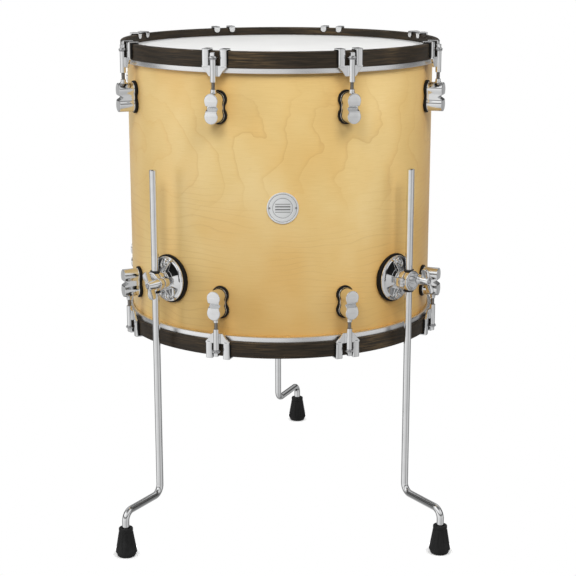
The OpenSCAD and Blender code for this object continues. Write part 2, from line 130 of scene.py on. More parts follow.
def spoke(angle, z=0.0, out=SHELL_R, over=False):
    """From a fitting's frame in mm (+X outward from the shell, +Y anticlockwise, +Z up) to metres.

    over turns the fitting upside down, for the lower head.
    """
    place = Matrix.Translation((0, AXIS_Y * MM, z * MM))
    turn = Matrix.Rotation(math.radians(angle - 90), 4, "Z")
    flip = Matrix.Rotation(math.pi if over else 0, 4, "X")
    return place @ turn @ flip @ Matrix.Scale(MM, 4) @ Matrix.Translation((out, 0, 0))


def lug_angles():
    return [(i + 0.5) * 360 / LUG_COUNT for i in range(LUG_COUNT)]


ENDS = {
    "batter": {"z": SHELL_TOP, "over": False},
    "resonant": {"z": SHELL_BASE, "over": True},
}


def at_end(end, angle, rise=0.0, out=SHELL_R):
    """Frame on one edge of the shell, its +Z out of the drum and its origin rise mm past the edge."""
    e = ENDS[end]
    up = -rise if e["over"] else rise
    return spoke(angle, e["z"] + up, out, e["over"])


def new_object(name, data):
    made = bpy.data.objects.new(name, data)
    bpy.context.scene.collection.objects.link(made)
    return made


# ---- forms: (points, faces, normals or None) ----


def moved(form, matrix):
    points, faces, normals = form
    m = np.array(matrix)
    turned = None
    if normals is not None:
        turned = normals @ m[:3, :3].T
        turned /= np.linalg.norm(turned, axis=1)[:, None]
    return points @ m[:3, :3].T + m[:3, 3], faces, turned


def joined(forms):
    points, faces, normals = [], [], []
    count = 0
    for p, f, n in forms:
        points.append(p)
        faces += [[i + count for i in face] for face in f]
        normals.append(n)
        count += len(p)
    exact = all(n is not None for n in normals)
    return np.concatenate(points), faces, np.concatenate(normals) if exact else None


def repeated(form, places):
    return joined([moved(form, m) for m in places])


def rounded(corners, steps=4):
    """Closed outline through corners (x, y, radius), with an arc at each."""
    line = []
    for i, (x, y, radius) in enumerate(corners):
        here = Vector((x, y))
        if radius == 0:
            line.append(here)
            continue
        back = (Vector(corners[i - 1][:2]) - here).normalized()
        ahead = (Vector(corners[(i + 1) % len(corners)][:2]) - here).normalized()
        half = back.angle(ahead) / 2
        centre = here + (back + ahead).normalized() * (radius / math.sin(half))
        start = here + back * (radius / math.tan(half)) - centre
        end = here + ahead * (radius / math.tan(half)) - centre
        sweep = start.angle_signed(end)
        for k in range(steps + 1):
            arm = start.copy()
            arm.rotate(Matrix.Rotation(-sweep * k / steps, 2))
            line.append(centre + arm)
    return [tuple(p) for p in line]


def lofted(rings):
    """Surface through rings of points, closed round and capped at both ends."""
    n = len(rings[0])
    points = [p for ring in rings for p in ring]
    faces = []
    for i, j in itertools.product(range(len(rings) - 1), range(n)):
        a, b = i * n + j, i * n + (j + 1) % n
        faces.append([a, b, b + n, a + n])
    for ring, first, order in ((rings[0], 0, -1), (rings[-1], len(points) - n, 1)):
        centre = len(points)
        points.append(tuple(np.mean(ring, axis=0)))
        for j in range(n):
            faces.append([centre, first + j, first + (j + 1) % n][::order])
    return np.array(points, float), faces, None


def lathe(outline, segments=96):
    """Turns a closed outline of (radius, height) about Z. Points on the axis become poles."""
    points, faces, starts = [], [], []
    for r, z in outline:
        starts.append(len(points))
        count = 1 if r < 1e-6 else segments
        points += [(r * math.cos(TAU * j / count), r * math.sin(TAU * j / count), z) for j in range(count)]
    for i, start in enumerate(starts):
        k = (i + 1) % len(outline)
        poles = outline[i][0] < 1e-6, outline[k][0] < 1e-6
        if all(poles):
            continue
        for j in range(segments):
            ahead = (j + 1) % segments
            low = [start] if poles[0] else [start + j, start + ahead]
            high = [starts[k]] if poles[1] else [starts[k] + ahead, starts[k] + j]
            faces.append(low + high)
    return np.array(points, float), faces, None


def upright_to_outward(form):
    """Turns a form made along +Z so that it lies along +X."""
    return moved(form, Matrix.Rotation(math.pi / 2, 4, "Y"))


def screw_thread(radius, low, high, pitch=1.05, depth=0.42, segments=24):
    """A threaded rod from low to high along Z."""
    steps = int((high - low) / pitch * 4)
    rings = []
    for i in range(steps + 1):
        z = low + (high - low) * i / steps
        ring = []
        for j in range(segments):
            phase = (z / pitch - j / segments) % 1
            r = radius - depth * abs(2 * phase - 1)
            if i in (0, steps):
                r = radius - 1.6 * depth
            ring.append((r * math.cos(TAU * j / segments), r * math.sin(TAU * j / segments), z))
        rings.append(ring)
    return lofted(rings)


# ---- distance fields: fused and blended solids ----

# Well inside a solid: what a cut's distance is where the cut doesn't apply
DEEP = -9.0


def hypot(*parts):
    return np.sqrt(sum(p * p for p in parts))


def fused(k, first, *others):
    """Union whose inside corners are filled with a radius of about k."""
    for d in others:
        h = np.clip(0.5 + 0.5 * (d - first) / k, 0, 1)
        first = d + (first - d) * h - k * h * (1 - h)
    return first


def common(k, first, *others):
    """What all the solids share, its edges rounded by about k."""
    return -fused(k, -first, *(-d for d in others))


def without(k, solid, *cuts):
    return common(k, solid, *(-c for c in cuts))


def span(value, low, high):
    return np.abs(value - (low + high) / 2) - (high - low) / 2


def round_bar(along, a, b, radius, low, high, edge=0.3):
    """Round bar whose axis is where a and b are 0, from low to high of along."""
    side = hypot(a, b) - radius + edge
    end = span(along, low + edge, high - edge)
    return np.minimum(np.maximum(side, end), 0) + hypot(np.maximum(side, 0), np.maximum(end, 0)) - edge


def polygon(a, b, corners):
    """Signed distance to a polygon in the plane of a and b."""
    nearest = np.full(len(a), np.inf)
    inside = np.zeros(len(a), bool)
    for (x0, y0), (x1, y1) in zip(corners, corners[1:] + corners[:1]):
        ex, ey = x1 - x0, y1 - y0
        t = np.clip(((a - x0) * ex + (b - y0) * ey) / (ex * ex + ey * ey), 0, 1)
        nearest = np.minimum(nearest, hypot(a - x0 - t * ex, b - y0 - t * ey))
        if y0 != y1:
            crosses = ((y0 <= b) != (y1 <= b)) & (a < x0 + (b - y0) * ex / ey)
            inside ^= crosses
    return np.where(inside, -nearest, nearest)


def slope(field, points, reach):
    """Gradient of a field by differences over reach."""
    parts = []
    for axis in np.eye(3) * reach:
        parts.append((field(*(points + axis).T) - field(*(points - axis).T)) / (2 * reach))
    return np.stack(parts, 1)


def settled(field, points, step, rounds=3):
    """Moves points onto the surface."""
    for _ in range(rounds):
        g = slope(field, points, 0.02)
        d = np.clip(field(*points.T), -step, step)
        points = points - (d / np.maximum((g * g).sum(1), 0.2))[:, None] * g
    return points


def thinned(points, faces, keep):
    """Collapses the shortest details until a share of the faces is left."""
    mesh = bpy.data.meshes.new("thinning")
    mesh.from_pydata(points.tolist(), [], faces)
    holder = new_object("thinning", mesh)
    holder.modifiers.new("fewer", "DECIMATE").ratio = keep
    made = holder.evaluated_get(bpy.context.evaluated_depsgraph_get()).to_mesh()
    points = np.array([v.co for v in made.vertices], float)
    faces = [list(p.vertices) for p in made.polygons]
    bpy.data.objects.remove(holder)
    bpy.data.meshes.remove(mesh)
    return points, faces


def skin(field, low, high, step=0.5, keep=0.4):
    """Meshes the surface of field(x, y, z) inside the box low to high.

    Each grid cell that the surface crosses gets one point, which is then moved onto the surface.
    """
    axes = [np.arange(a - 2 * step, b + 3 * step, step) for a, b in zip(low, high)]
    shape = [len(a) for a in axes]
    grid = [g.ravel() for g in np.meshgrid(*axes, indexing="ij")]
    inside = (field(*grid) < 0).reshape(shape)
    filled = sum(
        inside[i : shape[0] - 1 + i, j : shape[1] - 1 + j, k : shape[2] - 1 + k].astype(int)
        for i, j, k in itertools.product((0, 1), repeat=3)
    )
    crossed = (filled > 0) & (filled < 8)
    index = np.cumsum(crossed).reshape(crossed.shape) - 1
    points = np.argwhere(crossed) * step + [a[0] for a in axes] + step / 2
    quads = []
    for axis in range(3):
        ahead = [slice(1, None) if i == axis else slice(None) for i in range(3)]
        behind = [slice(None, -1) if i == axis else slice(None) for i in range(3)]
        near = inside[tuple(behind)]
        change = near != inside[tuple(ahead)]
        at = np.argwhere(change)
        around = []
        for du, dv in ((1, 1), (0, 1), (0, 0), (1, 0)):
            cell = at.copy()
            cell[:, (axis + 1) % 3] -= du
            cell[:, (axis + 2) % 3] -= dv
            around.append(index[tuple(cell.T)])
        quad = np.stack(around, 1)
        inward = ~near[change]
        quad[inward] = quad[inward][:, ::-1]
        quads.append(quad)
    quads = np.concatenate(quads)
    for _ in range(2):
        total, count = np.zeros_like(points), np.zeros(len(points))
        middles = points[quads].mean(1)
        for column in quads.T:
            np.add.at(total, column, middles)
            np.add.at(count, column, 1)
        points = settled(field, total / count[:, None], step)
    points, faces = thinned(points, quads.tolist(), keep)
    points = settled(field, points, step / 2, 1)
    normals = slope(field, points, 0.12)
    return points, faces, normals / np.linalg.norm(normals, axis=1)[:, None]


# ---- materials ----


class Nodes:
    """Short names for the nodes of a material or a world."""

    def __init__(self, tree):
        self.tree = tree

    def join(self, value, socket):
        """Links a node's output to a socket, or sets the socket to a plain value."""
        if isinstance(value, bpy.types.NodeSocket):
            self.tree.links.new(value, socket)
        else:
            socket.default_value = value

    def add(self, kind, inputs=None, **settings):
        node = self.tree.nodes.new(kind)
        for key, value in settings.items():
            setattr(node, key, value)
        for key, value in (inputs or {}).items():
            self.join(value, node.inputs[key])
        return node

    def math(self, operation, *values, clamp=False):
        inputs = dict(enumerate(values))
        return self.add("ShaderNodeMath", inputs, operation=operation, use_clamp=clamp).outputs[0]

    def plus(self, a, b, clamp=False):
        return self.math("ADD", a, b, clamp=clamp)

    def minus(self, a, b):
        return self.math("SUBTRACT", a, b)

    def times(self, first, *others):
        for other in others:
            first = self.math("MULTIPLY", first, other)
        return first

    def power(self, value, exponent):
        return self.math("POWER", value, exponent)

    def hypot(self, a, b):
        return self.math("SQRT", self.plus(self.power(a, 2.0), self.power(b, 2.0)))

    def vector(self, x, y, z):
        return self.add("ShaderNodeCombineXYZ", {"X": x, "Y": y, "Z": z}).outputs[0]

    def parts(self, where):
        return self.add("ShaderNodeSeparateXYZ", {"Vector": where}).outputs

    def distance(self, a, b):
        return self.add("ShaderNodeVectorMath", {0: a, 1: b}, operation="DISTANCE").outputs["Value"]

    def range(self, value, low, high, to_low=0.0, to_high=1.0):
        inputs = {"Value": value, "From Min": low, "From Max": high, "To Min": to_low, "To Max": to_high}
        return self.add("ShaderNodeMapRange", inputs).outputs["Result"]

    def within(self, value, half, fade, full=1.0):
        """full where the value is nearer 0 than half, falling to 0 over fade."""
        return self.range(self.math("ABSOLUTE", value), half, half + fade, full, 0.0)

    def ramp(self, value, *stops):
        """Colour or grey for a value, from (position, colour) stops."""
        node = self.add("ShaderNodeValToRGB", {"Fac": value})
        band = node.color_ramp.elements
        while len(band) < len(stops):
            band.new(0.5)
        for element, (position, colour) in zip(band, stops):
            element.position = position
            element.color = (*colour, 1) if hasattr(colour, "__len__") else (colour, colour, colour, 1)
        return node.outputs["Color"]

    def mixed(self, factor, a, b, blend="MIX"):
        node = self.add("ShaderNodeMix", data_type="RGBA", blend_type=blend)
        for key, value in ((0, factor), (6, a), (7, b)):
            self.join((*value, 1) if isinstance(value, tuple) else value, node.inputs[key])
        return node.outputs[2]


class Look(Nodes):
    """A Principled material, built up with procedural nodes."""

    def __init__(self, name, **sockets):
        self.material = bpy.data.materials.new(name)
        self.material.use_nodes = True
        super().__init__(self.material.node_tree)
        self.shader = self.tree.nodes["Principled BSDF"]
        for socket, value in sockets.items():
            self.set(socket.replace("_", " "), value)
        self.place = self.add("ShaderNodeTexCoord").outputs["Object"]

    def set(self, socket, value):
        self.join(value, self.shader.inputs[socket])

    def noise(self, where, scale, detail=3.0, roughness=0.5, distortion=0.0):
        inputs = {"Vector": where, "Scale": scale, "Detail": detail}
        inputs |= {"Roughness": roughness, "Distortion": distortion}
        return self.add("ShaderNodeTexNoise", inputs).outputs["Fac"]

    def streaks(self, where, stretch, scale, detail=2.0, roughness=0.5, distortion=0.0):
        """Noise drawn out by a different factor along each axis."""
        drawn = self.add("ShaderNodeMapping", {"Vector": where, "Scale": stretch}).outputs[0]
        return self.noise(drawn, scale, detail, roughness, distortion)

    def edges(self):
        """About 0.5 on level stretches and more on outward edges."""
        return self.add("ShaderNodeNewGeometry").outputs["Pointiness"]

    def bump(self, height, distance, strength=1.0):
        inputs = {"Height": height, "Distance": distance, "Strength": strength}
        self.set("Normal", self.add("ShaderNodeBump", inputs).outputs["Normal"])

    def round_the_drum(self):
        """(arc length round the drum, height, distance from its axis), in metres."""
        parts = self.parts(self.place)
        back = self.minus(parts["Y"], AXIS_Y * MM)
        angle = self.math("ARCTAN2", parts["X"], self.times(back, -1.0))
        return self.times(angle, SHELL_R * MM), parts["Z"], self.hypot(parts["X"], back)


def maple_lines(look, arc, height, flat):
    """Growth lines of the veneer and the soft shade beside the wide ones, from 0 to 1."""
    high = look.range(height, (SHELL_BASE + 175) * MM, (SHELL_BASE + 255) * MM)
    below_edge = look.range(height, (SHELL_TOP - 25) * MM, (SHELL_TOP - 100) * MM, 0.15, 1.0)
    patch = look.streaks(flat, (2.0, 3.0, 1), 2.6)
    # High up, where the veneer was cut level with the growth rings, they show as wide loops
    lobes = look.streaks(flat, (1.0, 1.15, 1), 7.0, 4.0, 0.45, 0.2)
    heart_arc, heart_height, flattening = -0.27, (SHELL_TOP - 120) * MM, 1.2
    from_heart = look.distance(
        look.vector(arc, look.times(height, flattening), 0.0), (heart_arc, heart_height * flattening, 0))
    loops = look.math("FRACT", look.plus(look.times(from_heart, 19.0), look.times(lobes, 5.5)))
    in_loops = look.times(high, below_edge)
    shade = look.times(look.power(look.range(loops, 0.45, 1.0), 2.0), in_loops)
    loops = look.power(look.range(loops, 0.86, 1.0), 1.6)
    loops = look.times(loops, in_loops, look.range(patch, 0.36, 0.6, 0.3, 1.15))
    # Lower down they run nearly level
    sway = look.streaks(flat, (1.0, 2.4, 1), 6.0, 2.0, 0.4)
    level = look.plus(look.times(height, 105.0), look.times(sway, 7.5))
    level = look.power(look.range(look.math("FRACT", level), 0.7, 1.0), 3.0)
    level = look.times(level, look.minus(1.15, high), look.range(patch, 0.40, 0.58, 0.1, 1.35))
    return look.plus(loops, level, clamp=True), shade


def maple():
    look = Look("maple", Coat_Weight=0.12, Coat_Roughness=0.2, Specular_IOR_Level=0.25)
    arc, height, reach = look.round_the_drum()
    flat = look.vector(arc, height, reach)
    line, shade = maple_lines(look, arc, height, flat)
    # Broad clouds, fine fibres and short flecks
    clouds = look.streaks(flat, (1.6, 1.0, 1), 3.4, 3.0, 0.5, 0.4)
    fibres = look.streaks(flat, (9, 260, 1), 4.0, 4.0, 0.6)
    flecks = look.streaks(flat, (40, 420, 1), 3.0)
    tone = look.plus(look.times(clouds, 0.75), look.times(fibres, 0.25))
    wood = look.ramp(
        tone, (0.34, (0.62, 0.415, 0.155)), (0.44, (0.68, 0.48, 0.19)), (0.56, (0.73, 0.53, 0.225)),
        (0.66, (0.76, 0.57, 0.265)))
    # Painted shade: the wood is darker and more orange low down, except at the left, and towards the right
    # side, where less light falls. It fades out towards the back, so that both sides of the seam behind
    # match.
    low = look.range(height, (SHELL_BASE + 200) * MM, (SHELL_BASE + 60) * MM)
    low = look.times(low, look.range(arc, -0.19, -0.05))
    painted_shade_tint = look.plus(low, look.range(arc, 0.15, 0.30, 0.0, 0.8), clamp=True)
    painted_shade_tint = look.times(painted_shade_tint, look.within(arc, 0.45, 0.25))
    wood = look.mixed(look.times(painted_shade_tint, 0.75), wood, (0.98, 0.86, 0.68), "MULTIPLY")
    # Painted shade: the wood is darker and more orange in hollows beside other parts, found by ambient
    # occlusion
    openness_for_painted_shade = look.add("ShaderNodeAmbientOcclusion", {"Distance": 0.035}, samples=6).outputs["AO"]
    wood = look.mixed(look.range(openness_for_painted_shade, 0.5, 0.97, 0.6, 0.0), wood, (1.0, 0.78, 0.52), "MULTIPLY")
    mellow = look.range(look.streaks(flat, (1.5, 1.1, 1), 7.0), 0.46, 0.68, 0.0, 0.55)
    wood = look.mixed(look.plus(mellow, look.times(shade, 0.28)), wood, (0.95, 0.82, 0.62), "MULTIPLY")
    wood = look.mixed(look.times(line, 0.27), wood, (0.46, 0.25, 0.09))
    look.set("Base Color", look.mixed(look.range(flecks, 0.62, 0.8, 0.0, 0.25), wood, (0.50, 0.30, 0.12)))
    look.set("Roughness", look.range(fibres, 0.3, 0.7, 0.30, 0.42))
    look.bump(look.plus(look.times(fibres, 0.6), look.times(line, -0.4)), 0.00012, 0.5)
    return look.material


def stained_wood():
    look = Look("stained_wood", Coat_Weight=0.06, Coat_Roughness=0.35, Specular_IOR_Level=0.28)
    flat = look.vector(*look.round_the_drum())
    fibres = look.streaks(flat, (7, 150, 150), 3.5, 5.0, 0.62, 0.4)
    pores = look.range(look.streaks(flat, (45, 700, 700), 3.0), 0.58, 0.72)
    patches = look.streaks(flat, (1.2, 3, 3), 7.0)
    tone = look.plus(look.times(fibres, 0.7), look.times(patches, 0.3))
    wood = look.ramp(
        tone, (0.34, (0.009, 0.007, 0.0042)), (0.52, (0.021, 0.0152, 0.009)), (0.7, (0.046, 0.03, 0.016)))
    # Lighter brown patches at random: thinner stain, and a painted highlight for the hoop's brown sheen
    thin_stain_and_painted_highlight = look.times(look.range(patches, 0.52, 0.66), look.range(fibres, 0.42, 0.66))
    wood = look.mixed(look.times(thin_stain_and_painted_highlight, 0.8), wood, (0.10, 0.066, 0.030))
    wood = look.mixed(look.times(pores, 0.6), wood, (0.012, 0.008, 0.006))
    # Paler brown on outward edges where the fibres run high
    paler_edges = look.times(look.range(look.edges(), 0.51, 0.56), look.range(fibres, 0.45, 0.6))
    look.set("Base Color", look.mixed(look.times(paler_edges, 0.5), wood, (0.19, 0.13, 0.085)))
    look.set("Roughness", look.range(fibres, 0.3, 0.7, 0.38, 0.56))
    look.bump(look.minus(look.times(fibres, 0.8), look.times(pores, 0.5)), 0.0002, 0.7)
    return look.material


def coated_film():
    """Rough white coat, with a smooth uncoated ring near the edge."""
    look = Look("coated_film", Specular_IOR_Level=0.3)
    reach = look.round_the_drum()[2]
    grit = look.noise(look.place, 900.0, 2.0, 0.6)
    cloud = look.noise(look.place, 9.0, 3.0)
    ring = look.range(reach, (SHELL_R - 16) * MM, (SHELL_R - 15.4) * MM)
    coat = look.ramp(cloud, (0.3, (0.74, 0.74, 0.73)), (0.7, (0.785, 0.785, 0.775)))
    look.set("Base Color", look.mixed(ring, coat, (0.66, 0.665, 0.665)))
    look.set("Roughness", look.range(ring, 0, 1, 0.72, 0.28))
    look.bump(look.times(grit, look.minus(1.0, ring)), 0.00015, 0.6)
    return look.material


def clear_film():
    look = Look("clear_film", Alpha=0.45, Specular_IOR_Level=0.6, IOR=1.6)
    haze = look.noise(look.place, 40.0, 3.0)
    look.set("Base Color", look.ramp(haze, (0.3, (0.78, 0.79, 0.79)), (0.7, (0.84, 0.85, 0.85))))
    look.set("Roughness", look.range(haze, 0.3, 0.7, 0.08, 0.16))
    look.bump(look.noise(look.place, 12.0, 2.0), 0.0004, 0.25)
    return look.material


def plated(name, colour, gloss, scratch=0.25, ripple=0.00004):
    """Bright metal: faint haze, fine scratches and a soft ripple. gloss is (smoothest, roughest)."""
    look = Look(name, Metallic=1.0)
    haze = look.noise(look.place, 55.0, 4.0, 0.6)
    scratches = look.range(look.streaks(look.place, (1, 1, 24), 260.0), 0.6, 0.75)
    dull, bright = [tuple(c * k for c in colour) for k in (0.93, 1.0)]
    look.set("Base Color", look.ramp(haze, (0.3, dull), (0.65, bright)))
    rough = look.range(haze, 0.3, 0.75, *gloss)
    look.set("Roughness", look.plus(rough, look.times(scratches, scratch * gloss[1])))
    swell = look.noise(look.place, 160.0, 2.0)
    look.bump(look.minus(swell, look.times(scratches, 0.2)), ripple, 0.35)
    return look.material


def drawn_aluminium():
    """Metal rolled round the drum, so that its marks run along the hoop."""
    look = Look("drawn_aluminium", Metallic=1.0)
    marks = look.streaks(look.vector(*look.round_the_drum()), (3, 900, 900), 2.0, 4.0, 0.6)
    look.set("Base Color", look.ramp(marks, (0.3, (0.82, 0.825, 0.83)), (0.7, (0.95, 0.955, 0.96))))
    look.set("Roughness", look.range(marks, 0.3, 0.7, 0.22, 0.38))
    look.bump(marks, 0.00003, 0.5)
    return look.material


def rubber(name, dark, dust_and_highlight_grey, gloss, grain=700.0, sheen=0.35):
    """Black rubber or nylon with a fine grain, paler dust and paler edges, the edges a painted highlight."""
    look = Look(name, Specular_IOR_Level=sheen)
    grit = look.noise(look.place, grain, 3.0, 0.6)
    dust = look.noise(look.place, 60.0, 4.0, 0.6)
    edge = look.range(look.edges(), 0.5, 0.6)
    # Dust at random, and a painted highlight on outward edges
    pale = look.plus(look.range(dust, 0.45, 0.75, 0.0, 0.35), look.times(edge, 0.4), clamp=True)
    look.set("Base Color", look.mixed(pale, (dark,) * 3, (dust_and_highlight_grey,) * 3))
    look.set("Roughness", look.range(grit, 0.3, 0.7, *gloss))
    look.bump(grit, 0.00008, 0.5)
    return look.material


def engraved_badge():
    """Brushed plate with dark-filled level bars across its middle and two rings round them."""
    look = Look("engraved_badge", Metallic=0.85)
    x, _, z = look.parts(look.place)
    up = look.minus(z, MIDDLE * MM)
    brushed = look.streaks(look.place, (12, 12, 700), 4.0, 3.0, 0.6)
    stripe = look.minus(look.math("FRACT", look.times(up, 1 / BAR_PITCH)), 0.5)
    bars = look.times(look.within(stripe, 0.2, 0.03), look.within(up, BARS_UP, INK_EDGE))
    ink = look.times(bars, look.within(x, BARS_ACROSS, INK_EDGE))
    across = look.hypot(x, up)
    for radius in INK_RINGS:
        ring = look.within(look.minus(across, radius), INK_LINE, INK_EDGE, 0.8)
        ink = look.math("MAXIMUM", ink, ring)
    plate = look.ramp(brushed, (0.3, (0.84, 0.85, 0.85)), (0.7, (0.95, 0.96, 0.96)))
    look.set("Base Color", look.mixed(look.times(ink, 0.85), plate, (0.10, 0.10, 0.10)))
    look.set("Roughness", look.range(brushed, 0.3, 0.7, 0.30, 0.44))
    look.bump(look.minus(look.times(brushed, 0.2), ink), 0.00012, 0.7)
    return look.material


# The badge's ink, in metres: the bars' spacing and extent, the rings' radii, and half a ring's width
BAR_PITCH, BARS_UP, BARS_ACROSS = 0.004, 0.006, 0.0105
INK_RINGS, INK_LINE, INK_EDGE = (0.0196, 0.0139), 0.0003, 0.0001

LOOKS = {
    "maple": maple(),
    "walnut_stain": stained_wood(),
    "coated_film": coated_film(),
    "clear_film": clear_film(),
    "aluminium_hoop": drawn_aluminium(),
    "chrome": plated("chrome", (0.845, 0.85, 0.855), (0.03, 0.08)),
    "steel": plated("zinc_steel", (0.58, 0.58, 0.59), (0.25, 0.42)),
    "brass": plated("brass", (0.72, 0.55, 0.26), (0.2, 0.36)),
    "black_rubber": rubber("black_rubber", 0.005, 0.014, (0.42, 0.6), sheen=0.2),
    "foot_rubber": rubber("foot_rubber", 0.006, 0.032, (0.45, 0.6), sheen=0.3),
    "black_nylon": rubber("black_nylon", 0.02, 0.045, (0.3, 0.45), 300.0),
    "badge_metal": engraved_badge(),
    "badge_pin": plated("badge_pin", (0.32, 0.32, 0.33), (0.3, 0.5)),
}
THREAD_STEEL = plated("thread_steel", (0.30, 0.285, 0.27), (0.3, 0.5))
# Black for the floors of the upper bracket pockets: painted shade
POCKET_SHADE = rubber("pocket_shade", 0.004, 0.009, (0.4, 0.55), sheen=0.15)


# ---- pieces ----

SMOOTH_LIMIT = math.radians(32)


def piece(name, form, slot, body, *nodes):
    """One mesh that rides on a body, stands for CAD nodes and takes a slot's finish."""
    points, faces, normals = form
    mesh = bpy.data.meshes.new(name)
    mesh.from_pydata(points.tolist(), [], faces)
    mesh.shade_smooth()
    if normals is None:
        mesh.set_sharp_from_angle(angle=SMOOTH_LIMIT)
    else:
        mesh.normals_split_custom_set_from_vertices(normals.tolist())
    mesh.materials.append(LOOKS[slot])
    made = new_object(name, mesh)
    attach(made, body)
    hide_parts(*nodes)
    return made


def keep_cad(slot, *nodes):
    """Gives CAD nodes that stay in view a finished material and softened edges."""
    for node in nodes:
        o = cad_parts[node]
        o.data.materials.clear()
        o.data.materials.append(LOOKS[slot])
        o.modifiers.new("weld", "WELD").merge_threshold = 1e-6
        bevel = o.modifiers.new("soft_edges", "BEVEL")
        bevel.width, bevel.segments, bevel.limit_method = 0.2 * MM, 2, "ANGLE"


def shell():
    """The wooden wall with its bearing edges, and the vent hole cut through it."""
    inner, flat = SHELL_R - SHELL_T, 1.4
    crest_in = SHELL_R - flat - 0.4
    depth, slant = SHELL_TOP - SHELL_BASE, SHELL_T - 1.8
    wall = rounded([
        (inner, slant, 1.0), (crest_in, 0, 0.15), (SHELL_R - flat, 0, 0.15), (SHELL_R, flat, 0.9),
        (SHELL_R, depth - flat, 0.9), (SHELL_R - flat, depth, 0.15), (crest_in, depth, 0.15),
        (inner, depth - slant, 1.0)])
    body = moved(lathe(wall, 288), spoke(0, SHELL_BASE, out=0))
    made = piece("shell_wall", body, "maple", "drum", "shell")
    hole = upright_to_outward(lathe([(0, -20), (VENT_R, -20), (VENT_R, 20), (0, 20)], 48))
    drill = piece("drill", moved(hole, spoke(VENT_ANGLE, MIDDLE)), "maple", "drum")
    cut = made.modifiers.new("vent", "BOOLEAN")
    cut.object, cut.operation, cut.solver = drill, "DIFFERENCE", "EXACT"
    done = bpy.data.meshes.new_from_object(made.evaluated_get(bpy.context.evaluated_depsgraph_get()))
    made.modifiers.clear()
    made.data = done
    done.name = "shell_wall"
    done.set_sharp_from_angle(angle=SMOOTH_LIMIT)
    bpy.data.objects.remove(drill)


def rings():
    """Heads, wood hoops and flesh hoops, at both ends."""
    edge, thick, tuck = SHELL_R + 0.1, 0.4, SHELL_R + 3.4
    film = rounded([
        (0, 0, 0), (edge - 1.6, 0, 1.2), (edge, -1.6, 1.2), (edge, -14, 0), (tuck, -14, 0), (tuck, -12, 0),
        (edge + thick, -12, 0.6), (edge + thick, -1.4, 1.5), (edge - 1.3, thick, 1.5), (0, thick, 0)])
    hoop_out, hoop_in = SHELL_R + HOOP_OUT, SHELL_R + HOOP_IN
    step = SHELL_R + FLESH_OUT + 0.2
    low, high = HOOP_PROUD - HOOP_H, HOOP_PROUD
    wood = rounded([
        (step, low, 0.5), (hoop_out, low, 2.0), (hoop_out, high, 2.2), (hoop_in, high, 2.2),
        (hoop_in, FLESH_TOP, 0.4), (step, FLESH_TOP, 0.4)], 5)
    metal_in, metal_out, groove = SHELL_R + 0.6, SHELL_R + FLESH_OUT, SHELL_R + 3.5
    band = rounded([
        (metal_in, FLESH_END, 0.6), (metal_out, FLESH_END, 1.3), (metal_out, FLESH_TOP, 0.8),
        (metal_in, FLESH_TOP, 0.3), (metal_in, -11.9, 0), (groove, -11.9, 0), (groove, -14.1, 0),
        (metal_in, -14.1, 0)])
    films = {"batter": "coated_film", "resonant": "clear_film"}
    for end in ENDS:
        place = at_end(end, 0, out=0)
        for form, slot, node in (
            (lathe(film, 256), films[end], f"{end}_head"),
            (lathe(wood, 256), "walnut_stain", f"{end}_hoop"),
            (lathe(band, 256), "aluminium_hoop", f"{end}_flesh_hoop"),
        ):
            piece(f"{node}_ring", moved(form, place), slot, "drum", node)


# ---- lugs ----


def peanut(x, y, z, radius, half, low, high, edge):
    """Two round turrets and the waist between them, from x = low to x = high."""
    turrets = [round_bar(x, y, z - s * TURRET_Z, radius, low, high, edge) for s in (-1, 1)]
    waist = common(edge, span(y, -half, half), span(z, -TURRET_Z, TURRET_Z), span(x, low, high))
    return fused(1.5, *turrets, waist)


def lug_field(x, y, z):
    body = peanut(x, y, z, TURRET_R, WAIST_HALF, GASKET_T, LUG_OUT, 1.6)
    crown = hypot(x - LUG_OUT + CROWN_R, y, np.abs(z) - TURRET_Z) - CROWN_R - 0.1
    body = common(0.6, body, np.where(x > LUG_OUT - 8, crown, DEEP))
    steep = NOTCH_DEEP / NOTCH_H
    notch = (LUG_OUT - NOTCH_DEEP - x + steep * np.abs(z)) / math.hypot(1, steep)
    body = without(0.9, body, notch)
    rim = peanut(x, y, z, TURRET_R + 0.35, WAIST_HALF + 0.35, GASKET_T, GASKET_T + 1.4, 0.5)
    body = fused(0.3, body, rim)
    nub = round_bar(z, x - ROD_OUT, y, NUB_R, TURRET_Z, NUB_END, 0.7)
    collar = round_bar(z, x - ROD_OUT, y, COLLAR_R, TURRET_Z, COLLAR_END, 0.6)
    body = fused(1.2, body, nub, collar)
    bore = round_bar(z, x - ROD_OUT, y, ROD_R + 0.2, 0.5, NUB_END + 2, 0.1)
    return without(0.4, body, bore)


def gasket_field(x, y, z):
    slab = peanut(x, y, z, GASKET_R, GASKET_WAIST, -4.0, GASKET_T, 0.9)
    return without(0.2, slab, hypot(x + SHELL_R, y) - SHELL_R)


def lugs():
    half, tall = TURRET_R + 0.4, TURRET_R + TURRET_Z + 0.4
    lug = skin(lug_field, (GASKET_T, -half, -tall), (LUG_OUT, half, NUB_END), 0.5, 0.35)
    half, tall = GASKET_R, GASKET_R + TURRET_Z
    gasket = skin(gasket_field, (-1, -half, -tall), (GASKET_T, half, tall), 0.6, 0.3)
    for end in ENDS:
        places = [at_end(end, a, -LUG_INSET) for a in lug_angles()]
        piece(f"{end}_lug_set", repeated(lug, places), "chrome", "drum", f"{end}_lugs")
        piece(f"{end}_gasket_set", repeated(gasket, places), "black_rubber", "drum", f"{end}_lug_gaskets")
        keep_cad("steel", f"{end}_lug_screws")
        keep_cad("brass", f"{end}_lug_nuts")


# ---- claws and rods, from the hoop's top down ----


def hook(x, z, inside, outside, lip, top, drop, lip_drop, edge):
    """Section of a hook over the hoop: between inside and outside, with a lip on the drum's side."""
    block = common(edge, span(x, lip[0], outside), z - top, -z - drop)
    room = common(0.7, span(x, lip[1], inside), z - (top - (outside - inside) * 0.5))
    short_lip = common(0.5, x - lip[1] - 0.6, z + lip_drop)
    return without(0.3, block, room, short_lip)


